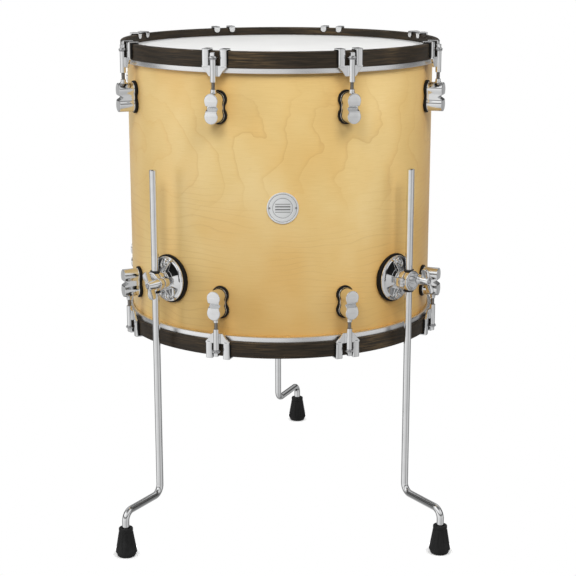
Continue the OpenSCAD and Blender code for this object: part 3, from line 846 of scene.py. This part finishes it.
def prong_field(x, y, z):
    """One prong: a hook with a crowned face and a rounded lip."""
    arm = hook(x, z, CLAW_IN, CLAW_OUT, CLAW_LIP, PRONG_RISE, PRONG_DROP, LIP_DROP, 1.9)
    crown = hypot(x - CLAW_OUT + 9, y) - 9.1
    sides = common(0.9, span(y, -PRONG_HALF, PRONG_HALF), np.where(x > CLAW_IN + 0.5, crown, DEEP))
    at_lip = (x < CLAW_LIP[1] + 0.5) & (z < PRONG_HALF - LIP_DROP)
    lip = np.where(at_lip, hypot(y, z + LIP_DROP - PRONG_HALF) - PRONG_HALF, DEEP)
    return common(0.6, arm, sides, lip)


def claw_field(x, y, z):
    prongs = [prong_field(x, y - s * PRONG_Y, z) for s in (-1, 1)]
    half = PRONG_Y + PRONG_HALF
    right = [(half, -CROTCH), (half, -PRONG_DROP), *TAIL]
    outline = right + [(-y0, z0) for y0, z0 in right[::-1]]
    plate = common(0.9, polygon(y, z, outline), span(x, CLAW_IN, CLAW_OUT - 0.6))
    sleeve = round_bar(z, x - ROD_OUT, y, SLEEVE_R, SLEEVE_END, SLEEVE_TOP, 0.5)
    body = fused(1.3, fused(0.8, *prongs, plate), sleeve)
    bore = round_bar(z, x - ROD_OUT, y, ROD_R + 0.12, SLEEVE_END - 5, SLEEVE_TOP + 5, 0.1)
    return without(0.3, body, bore)


def pad_field(x, y, z):
    """Two rubber linings between the claw's prongs and the hoop, the hoop's curve cut out of them."""
    inner = CLAW_LIP[1] + 0.05
    block = common(0.4, span(x, inner, CLAW_IN - 0.05), z - 0.95, -z - PAD_DROP)
    short = common(0.3, x - inner - 1.5, z + PAD_LIP_DROP)
    pads = [common(0.4, block, span(y, s * PRONG_Y - 5.8, s * PRONG_Y + 5.8)) for s in (-1, 1)]
    reach = hypot(x + SHELL_R, y) - SHELL_R
    hoop = common(1.5, span(reach, HOOP_IN, HOOP_OUT), z)
    return without(0.2, np.minimum(*pads), hoop, short)


def key_head_field(x, y, z):
    """Square key head on a round flange."""
    flange = round_bar(z, x, y, FLANGE_R, FLANGE_LOW, FLANGE_TOP, 0.5)
    cone = common(0.3, hypot(x, y) - (3.2 - (z + 5.9)), span(z, -9, -5.9))
    flats = [span(across, -KEY_HALF, KEY_HALF) for across in (x, y)]
    square = common(0.5, *flats, hypot(x, y) - 4.2, span(z, -9, KEY_TOP))
    crown = hypot(x, y, z + 9.6) - 8.5
    return fused(0.4, flange, cone, common(0.3, square, crown))


def rod_form():
    tip = -(HOOP_PROUD + LUG_INSET - ROD_TIP)
    low, high = (-FLANGE_R, -FLANGE_R, FLANGE_LOW), (FLANGE_R, FLANGE_R, KEY_TOP)
    head = skin(key_head_field, low, high, 0.35, 0.5)
    shank = lathe(rounded([(0, SHANK_END, 0), (SHANK_R, SHANK_END, 0), (SHANK_R, -8, 0), (0, -8, 0)]), 24)
    thread = screw_thread(ROD_R - 0.05, tip, SHANK_END + 0.5)
    return joined([head[:2] + (None,), shank, thread])


def claws_and_rods():
    wide = PRONG_Y + PRONG_HALF
    low, high = (CLAW_LIP[0], -wide, SLEEVE_END), (ROD_OUT + SLEEVE_R, wide, PRONG_RISE)
    claw = skin(claw_field, low, high, 0.5, 0.35)
    pads = skin(pad_field, (CLAW_LIP[1], -19, -PAD_DROP), (CLAW_IN, 19, 1), 0.45, 0.3)
    bore, low, high = ROD_R + 0.15, -11, -9.7
    washer = rounded([(bore, low, 0.2), (FLANGE_R, low, 0.4), (FLANGE_R, high, 0.4), (bore, high, 0.2)])
    washer = lathe(washer, 40)
    rod = rod_form()
    bare = np.array([int(rod[0][face][:, 2].mean() < SHANK_END - 0.5) for face in rod[1]], np.int32)
    for end in ENDS:
        places = [at_end(end, a, HOOP_PROUD) for a in lug_angles()]
        rod_places = [at_end(end, a, HOOP_PROUD, SHELL_R + ROD_OUT) for a in lug_angles()]
        piece(f"{end}_claw_set", repeated(claw, places), "chrome", "drum", f"{end}_claws")
        piece(f"{end}_pad_set", repeated(pads, places), "black_rubber", "drum", f"{end}_claw_pads")
        piece(f"{end}_washer_set", repeated(washer, rod_places), "steel", "drum", f"{end}_rod_washers")
        for i, place in enumerate(rod_places, 1):
            node = f"{end}_rod_{i}"
            made = piece(f"{node}_key_rod", moved(rod, place), "chrome", node, node)
            made.data.materials.append(THREAD_STEEL)
            made.data.polygons.foreach_set("material_index", bare)


# ---- leg brackets, from the shell's surface out ----


def sector(y, z, radius, half_width, half_angle):
    """Four ring sectors at 45 degrees to the upright, in the plane of y and z."""
    reach = hypot(y, z)
    turn = np.abs((np.arctan2(z, y) % (TAU / 4)) - TAU / 8) - math.radians(half_angle)
    return common(1.6, np.abs(reach - radius) - half_width, reach * np.sin(turn))


def clamp_disc(x, y, z, low, high, edge):
    disc = round_bar(x, y, z, CLAMP_R, low, high, edge)
    ear = round_bar(x, y - STUD_Y, z, EAR_R, low, high, edge)
    return fused(1.5, disc, ear)


def bores(x, y, z):
    leg = hypot(x - LEG_OUT, y) - BUSH_R - 0.06
    stud = hypot(y - STUD_Y, z) - STUD_R - 0.1
    pin = hypot(x - LEG_OUT, y - HINGE_Y) - HINGE_PIN_R - 0.08
    return [leg, np.maximum(stud, CLAMP_BACK - 6 - x), pin]


def bracket_field(x, y, z):
    reach = hypot(y, z)
    cap = common(0.8, hypot(x - DOME_TOP + DOME_R, y, z) - DOME_R, reach - BASE_R + 1.2, 3 - x)
    rim = round_bar(x, y, z, BASE_R, 3, RIM_TOP, 1.1)
    dome = fused(0.8, cap, rim)
    pockets = common(1.0, sector(y, z, 20.8, 6.8, 23), POCKET_FLOOR - x)
    dome = without(0.9, dome, pockets)
    bosses = [round_bar(x, y, z - s * BRACKET_SCREW_Z, SCREW_BOSS_R, 3, POCKET_FLOOR, 0.5) for s in (-1, 1)]
    dome = fused(0.5, dome, *bosses)
    neck = round_bar(x, y, z, 11, 4, CLAMP_BACK + 2, 0.3)
    half = clamp_disc(x, y, z, CLAMP_BACK, LEG_OUT - CLAMP_GAP / 2, 0.6)
    knuckle = round_bar(z, x - LEG_OUT, y - HINGE_Y, HINGE_R, -KNUCKLE_HALF, KNUCKLE_HALF, 0.4)
    web = common(0.4, span(x, CLAMP_BACK + 0.5, LEG_OUT - 0.3), span(y, -19, -12), np.abs(z) - KNUCKLE_HALF)
    body = fused(2.2, dome, neck)
    body = fused(1.4, body, half)
    body = fused(0.5, body, knuckle, web)
    gap = common(0.1, hypot(x - LEG_OUT, y - HINGE_Y) - HINGE_R - 0.4, span(z, -KNUCKLE_MID, KNUCKLE_MID))
    seats = [
        round_bar(x, y, z - s * BRACKET_SCREW_Z, SCREW_HEAD_R + 0.7, POCKET_FLOOR - 0.5, 19, 0.3)
        for s in (-1, 1)]
    stud_head = round_bar(x, y - STUD_Y, z, 5.5, CLAMP_BACK - 4.6, CLAMP_BACK, 0.2)
    return without(0.35, body, gap, *seats, stud_head, *bores(x, y, z))


def cap_field(x, y, z):
    low = LEG_OUT + CLAMP_GAP / 2
    disc = clamp_disc(x, y, z, low, CLAMP_FACE, 1.3)
    groove = np.abs(hypot(y, z) - 11.6) - 0.5
    disc = without(0.4, disc, np.maximum(groove, CLAMP_FACE - 0.6 - x))
    dish = hypot(x - CLAMP_FACE - 59.4, y, z) - 60
    disc = without(0.4, disc, np.maximum(dish, hypot(y, z) - 11))
    half = KNUCKLE_MID - 0.3
    knuckle = round_bar(z, x - LEG_OUT, y - HINGE_Y, HINGE_R, -half, half, 0.3)
    web = common(0.3, span(x, low, LEG_OUT + 3.1), span(y, -16, -11), span(z, -half, half))
    around = hypot(x - LEG_OUT, y - HINGE_Y) - HINGE_R - 0.4
    rooms = np.maximum(around, span(np.abs(z), half, KNUCKLE_HALF + 0.3))
    disc = without(0.2, disc, rooms)
    return without(0.35, fused(0.4, disc, knuckle, web), *bores(x, y, z))


def screw_head_field(x, y, z):
    """Domed head with a cross recess."""
    dome = common(0.5, hypot(x - 1.6, y, z) - 9.8, hypot(y, z) - SCREW_HEAD_R, POCKET_FLOOR - 0.4 - x)
    cross = [np.maximum(np.abs(a) - 0.75, np.abs(b) - 3) for a, b in ((y, z), (z, y))]
    arms = np.minimum(*cross)
    return without(0.3, dome, np.maximum(arms, 9.6 - x))


def wing_field(x, y, z):
    """A wing nut: a tapered hub and two broad round wings, turned from upright."""
    turn = math.radians(WING_LEAN)
    y, z = y * math.cos(turn) + z * math.sin(turn), z * math.cos(turn) - y * math.sin(turn)
    foot = CLAMP_FACE + 0.4
    taper = 7.8 - 2.8 * (x - foot) / (HUB_END - foot)
    hub = common(0.8, hypot(y, z) - taper, span(x, foot, HUB_END))
    up = np.abs(z)
    middle = HUB_END - 3
    outline = [
        (HUB_END - 16, -2), (HUB_END - 1, -2), (middle + WING_R, WING_TIP - WING_R),
        (middle - WING_R, WING_TIP - WING_R)]
    leaf = np.minimum(polygon(x, up, outline), hypot(x - middle, up - WING_TIP + WING_R) - WING_R)
    wings = common(0.9, leaf, np.abs(y) - 1.8 * (1 - 0.75 * ((x - middle) / 8) ** 2))
    bore = hypot(y, z) - STUD_R - 0.08
    return without(0.4, fused(1.6, hub, wings), bore)


def bracket_gaskets(places):
    reach = BASE_R + 2.3

    def ring_field(x, y, z):
        slab = round_bar(x, y, z, reach, -6, 3, 0.9)
        return without(0.2, slab, hypot(x + SHELL_R, y) - SHELL_R)

    gasket = skin(ring_field, (-3, -reach, -reach), (3, reach, reach), 0.8, 0.25)
    piece("bracket_gasket_set", repeated(gasket, places), "black_rubber", "drum", "bracket_gaskets")


def bracket_bases(places):
    """Chrome domes. The floors of the pockets above their upper screws are black, a painted shade; the lower
    pockets stay chrome.
    """
    base = skin(bracket_field, (3, -BASE_R, -BASE_R), (LEG_OUT + 4, BASE_R, BASE_R), 0.6, 0.4)
    made = piece("bracket_base_set", repeated(base, places), "chrome", "drum", "bracket_bases")
    made.data.materials.append(POCKET_SHADE)
    points, faces, normals = base
    x, y, z = np.array([points[face].mean(0) for face in faces]).T
    facing = np.array([normals[face].mean(0)[0] for face in faces])
    clear = np.hypot(y, np.abs(z) - BRACKET_SCREW_Z) > SCREW_BOSS_R + 0.5
    on_floor = (np.abs(x - POCKET_FLOOR) < 0.6) & (facing > 0.8) & (np.hypot(y, z) < POCKET_REACH)
    # Painted shade: only the floors of the pockets above the upper screws turn black
    painted = np.tile(on_floor & clear & (z > 0), len(places))
    made.data.polygons.foreach_set("material_index", painted.astype(np.int32))


def bracket_fasteners(places):
    """Mounting screws, hinge pins and clamp studs."""
    rim = SCREW_HEAD_R
    head = skin(screw_head_field, (7.5, -rim, -rim), (11.4, rim, rim), 0.35, 0.5)
    shaft = upright_to_outward(lathe([(0, -15), (3, -15), (3, 8), (0, 8)], 32))
    screw = joined([head[:2] + (None,), shaft])
    spots = [place @ Matrix.Translation((0, 0, s * BRACKET_SCREW_Z)) for place in places for s in (-1, 1)]
    piece("bracket_screw_set", repeated(screw, spots), "chrome", "drum", "bracket_screws")

    pin = lathe(rounded([(0, -7, 0), (HINGE_PIN_R, -7, 0.4), (HINGE_PIN_R, 7, 0.4), (0, 7, 0)]), 32)
    pin = moved(pin, Matrix.Translation((LEG_OUT, HINGE_Y, 0)))
    piece("hinge_pin_set", repeated(pin, places), "steel", "drum", "clamp_hinge_pins")

    stud_back = CLAMP_BACK - 4.1
    stud_head = lathe(rounded([(0, 0, 0), (5, 0, 0.6), (5, 4, 0.6), (0, 4, 0)]), 40)
    stud_head = moved(upright_to_outward(stud_head), Matrix.Translation((stud_back, STUD_Y, 0)))
    thread = upright_to_outward(screw_thread(STUD_R, 0, STUD_END - stud_back - 3, 1.2, 0.4))
    thread = moved(thread, Matrix.Translation((stud_back + 3, STUD_Y, 0)))
    piece("clamp_stud_set", repeated(joined([stud_head, thread]), places), "steel", "drum", "clamp_studs")
    keep_cad("steel", "bracket_nuts")


def bush_form():
    """Nylon sleeve with a collar at each end, a little clear of the clamp's bore."""
    bore, outer, collar = LEG_R + 0.06, BUSH_R - 0.15, BUSH_R + 1
    end, shoulder = BUSH_HALF, BUSH_HALF - 1
    return lathe(rounded([
        (bore, -end, 0.3), (collar, -end, 0.4), (collar, -shoulder, 0.2), (outer, -shoulder, 0),
        (outer, shoulder, 0), (collar, shoulder, 0.2), (collar, end, 0.4), (bore, end, 0.3)]), 48)


def brackets():
    places = {side: spoke(angle, BRACKET_Z) for side, angle in BRACKET_ANGLES.items()}
    everywhere = list(places.values())
    bracket_gaskets(everywhere)
    bracket_bases(everywhere)
    cap = skin(cap_field, (LEG_OUT - 4, -20, -CLAMP_R), (CLAMP_FACE, STUD_Y + EAR_R, CLAMP_R), 0.45, 0.4)
    piece("clamp_cap_set", repeated(cap, everywhere), "chrome", "drum", "clamp_caps")
    bracket_fasteners(everywhere)
    wing = skin(wing_field, (CLAMP_FACE, -11, -21), (HUB_END + 5, 11, 21), 0.45, 0.4)
    bush = moved(bush_form(), Matrix.Translation((LEG_OUT, 0, 0)))
    for side, place in places.items():
        cast = moved(wing, place @ Matrix.Translation((0, STUD_Y, 0)))
        piece(f"wing_nut_{side}_cast", cast, "chrome", f"wing_nut_{side}", f"wing_nut_{side}")
        sleeve = moved(bush, place)
        piece(f"leg_bush_{side}_sleeve", sleeve, "black_nylon", f"bush_{side}", f"leg_bush_{side}")


# ---- legs and feet ----


def leg_form(top, step, level):
    """Round rod: down, out and down again. Its upper stretch stands at x = 0 and its lower at x = step."""
    out_bend, down_bend = [], []
    for k in range(13):
        turn = k * 90 / 12
        along, across = BEND_R * math.sin(math.radians(turn)), BEND_R * (1 - math.cos(math.radians(turn)))
        out_bend.append((across, level + BEND_R - along, turn - 90, 1.0))
        down_bend.append((step - BEND_R + along, level - across, -turn, 1.0))
    route = [(0, top, -90, 0.72), (0, top - 1.2, -90, 1.0)]
    route += out_bend + down_bend + [(step, LEG_END, -90, 1.0)]
    rings = []
    for x, z, heading, share in route:
        side_x, side_z = -math.sin(math.radians(heading)), math.cos(math.radians(heading))
        ring = []
        for j in range(40):
            across, wide = math.cos(TAU * j / 40) * LEG_R * share, math.sin(TAU * j / 40) * LEG_R * share
            ring.append((x + side_x * across, wide, z + side_z * across))
        rings.append(ring)
    return lofted(rings)


def foot_form(height, segments=96, flutes=12):
    """Rubber tip: a ribbed cone that draws in to a round sole, with a bead round its mouth."""
    neck, mouth, shoulder = 0.66 * FOOT_R, LEG_R + 0.1, height - 7
    outline = rounded([
        (0, 0, 0), (SOLE_R, 0, 1.2), (SOLE_R + 1.3, 2.6, 0.5), (SOLE_R + 1.0, 3.1, 0.3),
        (FOOT_R, SOLE_RISE, 1.6), (neck + 0.3, shoulder, 0.8), (neck - 0.3, height - 5.4, 0.6),
        (neck, height - 4.2, 0.6), (neck, height, 1.4), (mouth + 1.1, height, 0.5),
        (mouth, height - 1.6, 0.3), (mouth, LEG_END - 0.1, 0), (0, LEG_END - 0.1, 0)], 5)
    fine = []
    for (r0, z0), (r1, z1) in zip(outline, outline[1:] + outline[:1]):
        pieces = 14 if abs(z1 - z0) > 15 and r0 > LEG_R + 1 else 1
        fine += [(r0 + (r1 - r0) * k / pieces, z0 + (z1 - z0) * k / pieces) for k in range(pieces)]
    points, faces, _ = lathe(fine, segments)
    x, y, z = points.T
    reach = np.hypot(x, y)
    ribbed = np.clip((z - SOLE_RISE - 2) / 3, 0, 1) * np.clip((shoulder - z) / 3, 0, 1)
    wave = 0.5 - 0.5 * np.cos(flutes * np.arctan2(y, x))
    scale = np.where(reach > LEG_R + 1.5, 1 - 0.6 * ribbed * wave**3 / np.maximum(reach, 1), 1)
    points[:, :2] *= scale[:, None]
    return points, faces, None


def legs():
    for side, angle in BRACKET_ANGLES.items():
        leg_top = node_box(f"leg_{side}")[1][2]
        foot_low, foot_high = node_box(f"foot_{side}")
        upper = np.array(spoke(angle, out=SHELL_R + LEG_OUT).translation) / MM
        toe_x, toe_y = [(foot_low[i] + foot_high[i]) / 2 - upper[i] for i in (0, 1)]
        step = math.hypot(toe_x, toe_y)
        turn = Matrix.Rotation(math.atan2(toe_y, toe_x), 4, "Z")
        place = Matrix.Translation((upper[0] * MM, upper[1] * MM, 0)) @ turn @ Matrix.Scale(MM, 4)
        rod = leg_form(leg_top, step, LEG_LEVEL)
        piece(f"leg_{side}_rod", moved(rod, place), "chrome", f"leg_{side}", f"leg_{side}")
        foot = moved(foot_form(foot_high[2]), place @ Matrix.Translation((step, 0, 0)))
        piece(f"foot_{side}_rubber", foot, "foot_rubber", f"leg_{side}", f"foot_{side}")


# ---- badge and vent ----


def bent_to_shell(form):
    """Wraps a form whose y runs flat round the shell."""
    points, faces, normals = form
    x, y, z = points.T
    turn = y / SHELL_R
    wrapped = np.stack([(SHELL_R + x) * np.cos(turn) - SHELL_R, (SHELL_R + x) * np.sin(turn), z], 1)
    return wrapped, faces, normals


def badge():
    """A thin disc with a raised rim and one engraved ring, on two pins."""
    face, groove, rim = 1.05, 0.85, 1.2
    plate = rounded([
        (0, 0.02, 0), (BADGE_R, 0.02, 0.1), (BADGE_R, rim, 0.35), (BADGE_R - 1.6, rim, 0.25),
        (BADGE_R - 2.0, groove, 0.2), (BADGE_R - 2.6, groove, 0.2), (BADGE_R - 3.0, face, 0.2),
        (14.6, face, 0.15), (14.3, groove, 0.1), (13.9, groove, 0.1), (13.6, face, 0.15), (7, face, 0),
        (0, face, 0)], 3)
    disc = bent_to_shell(upright_to_outward(lathe(plate, 96)))
    piece("badge_plate", moved(disc, spoke(0, MIDDLE)), "badge_metal", "drum", "badge")
    pin = rounded([(0, -5, 0), (0.8, -5, 0.1), (0.8, 0.9, 0), (1.5, 0.9, 0.1), (1.5, 1.7, 0.5), (0, 1.7, 0)])
    pin = upright_to_outward(lathe(pin, 32))
    pins = [bent_to_shell(moved(pin, Matrix.Translation((0, s * BADGE_PIN_Y, 0)))) for s in (-1, 1)]
    piece("badge_pin_set", moved(joined(pins), spoke(0, MIDDLE)), "badge_pin", "drum", "badge_pins")


def vent():
    """Metal eyelet through the shell, with a flange on both faces."""
    bore, outer, flange, inner_flange = VENT_R - 1.5, VENT_R - 0.05, VENT_R + 2.5, VENT_R + 2
    near, far = -SHELL_T - 0.2, -SHELL_T - 1.4
    eyelet = rounded([
        (outer, 0, 0), (flange, 0, 0.1), (flange, 1.0, 0.6), (bore, 1.0, 0.7), (bore, far, 0.6),
        (inner_flange, far, 0.6), (inner_flange, near, 0.2), (outer, near, 0)])
    eyelet = bent_to_shell(upright_to_outward(lathe(eyelet, 64)))
    piece("vent_eyelet", moved(eyelet, spoke(VENT_ANGLE, MIDDLE)), "chrome", "drum", "vent_grommet")


# ---- stage, lights and camera ----

# Brightness of the room by the height of the direction, from -1 straight down to 1 straight up
FRONT_LIGHT = (
    (-1, 0.56), (-0.5, 0.68), (-0.32, 0.74), (-0.18, 0.76), (-0.04, 0.85), (0.1, 0.85), (0.2, 0.34),
    (0.34, 0.18), (0.42, 0.95), (0.8, 1.0), (0.9, 0.3), (1, 0.2))
REAR_LIGHT = ((-1, 0.45), (-0.06, 0.62), (0.02, 0.12), (0.3, 0.1), (0.45, 0.7), (0.8, 0.8), (1, 0.2))
# The same by the turn round the drum, in degrees from the front and positive to the right
LIGHT_ROUND = (
    (-180, 0.8), (-128, 0.8), (-116, 0.35), (-102, 0.35), (-92, 1.25), (-70, 1.2), (-50, 1.07), (-26, 0.98),
    (-6, 0.88), (3, 1.0), (10, 0.5), (22, 0.48), (32, 0.78), (52, 0.78), (72, 0.92), (84, 0.8), (96, 0.3),
    (112, 0.3), (126, 0.6), (180, 0.8))
# What share of the room's light falls on surfaces that aren't shiny
FILL_SHARE = 0.34

# Square lamps: azimuth from the front and elevation in degrees, distance and side in metres, power in watts
LAMPS = {
    "key_left": (-20, 40, 2.2, 0.8, 21.5),
    "key_right": (30, 44, 2.2, 0.8, 24.5),
    "overhead": (0, 72, 2.2, 1.4, 10),
    "side_left": (-92, 6, 2.4, 1.8, 34),
    "side_right": (78, 15, 2.4, 1.8, 20),
    "behind": (180, 8, 2.6, 1.8, 24),
}
AIM_Z = 0.5

FLOOR_PATCH_R = 0.036
FOOT_SHADE_R = 0.019

LENS, SENSOR = 91.82, 36
EYE_X, EYE_AWAY, EYE_ABOVE_HOOP = -0.0346, 2.2296, 0.1709
LOOK_DOWN, LOOK_RIGHT = math.radians(14.04), math.radians(1.2)


def floor():
    """The pale floor round each foot. Beyond it the studio is the same white.

    It reaches no further than the feet's shadows, so it hides little of a leg that is let down past it.
    """
    look = Look("floor", Roughness=0.9, Specular_IOR_Level=0.1, Emission_Color=(1, 1, 1, 1))
    turns = np.arange(48) * TAU / 48
    patch = np.stack([np.cos(turns), np.sin(turns), 0 * turns], 1) * FLOOR_PATCH_R
    patches = []
    nearest = FLOOR_PATCH_R
    for side in BRACKET_ANGLES:
        low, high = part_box(f"foot_{side}")
        toe = ((low[0] + high[0]) / 2, (low[1] + high[1]) / 2, 0)
        patches.append((patch + toe, [list(range(48))], None))
        # The foot at the back has a fainter shadow
        away = look.plus(look.distance(look.place, toe), 0.012 if side == "rear" else 0.0)
        nearest = look.math("MINIMUM", nearest, away)
    # Painted shadow: the floor glows less towards each foot, down to a quarter within FOOT_SHADE_R, on top
    # of the shadows that the lamps cast
    look.set("Emission Strength", look.range(nearest, FOOT_SHADE_R, FLOOR_PATCH_R, 0.25, 1.0))
    mottle = look.noise(look.place, 1.5, 2.0)
    look.set("Base Color", look.ramp(mottle, (0.3, (0.68, 0.68, 0.68)), (0.7, (0.72, 0.72, 0.72))))
    points, faces, _ = joined(patches)
    mesh = bpy.data.meshes.new("floor")
    mesh.from_pydata(points.tolist(), [], faces)
    mesh.materials.append(look.material)
    made = new_object("floor", mesh)
    made.visible_glossy = made.visible_diffuse = False


def softbox(name, azimuth, elevation, distance, side, power):
    """Square lamp that faces the drum's axis. Shiny surfaces show the room and not the lamp."""
    light = bpy.data.lights.new(name, "AREA")
    light.shape, light.size, light.energy = "SQUARE", side, power
    a, e = math.radians(azimuth), math.radians(elevation)
    away = Vector((math.sin(a) * math.cos(e), -math.cos(a) * math.cos(e), math.sin(e)))
    lamp = new_object(name, light)
    lamp.location = Vector((0, AXIS_Y * MM, AIM_Z)) + away * distance
    lamp.rotation_euler = away.to_track_quat("Z", "Y").to_euler()
    lamp.visible_glossy = False


def surroundings():
    """World light: a bright room with darker bands for the metal to reflect, and white as a background."""
    world = bpy.data.worlds.new("studio")
    bpy.context.scene.world = world
    world.use_nodes = True
    nodes = Nodes(world.node_tree)
    x, y, z = nodes.parts(nodes.add("ShaderNodeTexCoord").outputs["Generated"])
    rise = nodes.range(z, -1.0, 1.0)
    front = nodes.ramp(rise, *[((height + 1) / 2, grey) for height, grey in FRONT_LIGHT])
    rear = nodes.ramp(rise, *[((height + 1) / 2, grey) for height, grey in REAR_LIGHT])
    turn = nodes.range(nodes.math("ARCTAN2", x, nodes.times(y, -1.0)), -math.pi, math.pi)
    share = nodes.ramp(turn, *[(degrees / 360 + 0.5, grey) for degrees, grey in LIGHT_ROUND])
    room = nodes.mixed(nodes.range(y, -0.1, 0.35), front, rear)
    room = nodes.add("ShaderNodeVectorMath", {0: room, 1: share}, operation="MULTIPLY").outputs[0]
    path = nodes.add("ShaderNodeLightPath").outputs
    backdrop = nodes.tree.nodes["Background"].inputs
    nodes.join(nodes.mixed(path["Is Camera Ray"], room, (1, 1, 1)), backdrop["Color"])
    nodes.join(nodes.range(path["Is Diffuse Ray"], 0.0, 1.0, 1.0, FILL_SHARE), backdrop["Strength"])


def studio():
    bpy.context.scene.view_settings.view_transform = "Standard"
    surroundings()
    floor()
    for name, lamp in LAMPS.items():
        softbox(name, *lamp)


def camera():
    """The camera stands in front, a little to the left and above the hoop, and looks slightly down."""
    lens = bpy.data.cameras.new("camera")
    lens.sensor_width, lens.lens, lens.clip_end = SENSOR, LENS, 200
    eye = new_object("camera", lens)
    eye.location = (EYE_X, AXIS_Y * MM - EYE_AWAY, (SHELL_TOP + HOOP_PROUD) * MM + EYE_ABOVE_HOOP)
    eye.rotation_euler = (math.pi / 2 - LOOK_DOWN, 0, -LOOK_RIGHT)
    bpy.context.scene.camera = eye


shell()
rings()
lugs()
claws_and_rods()
brackets()
legs()
badge()
vent()
studio()
camera()
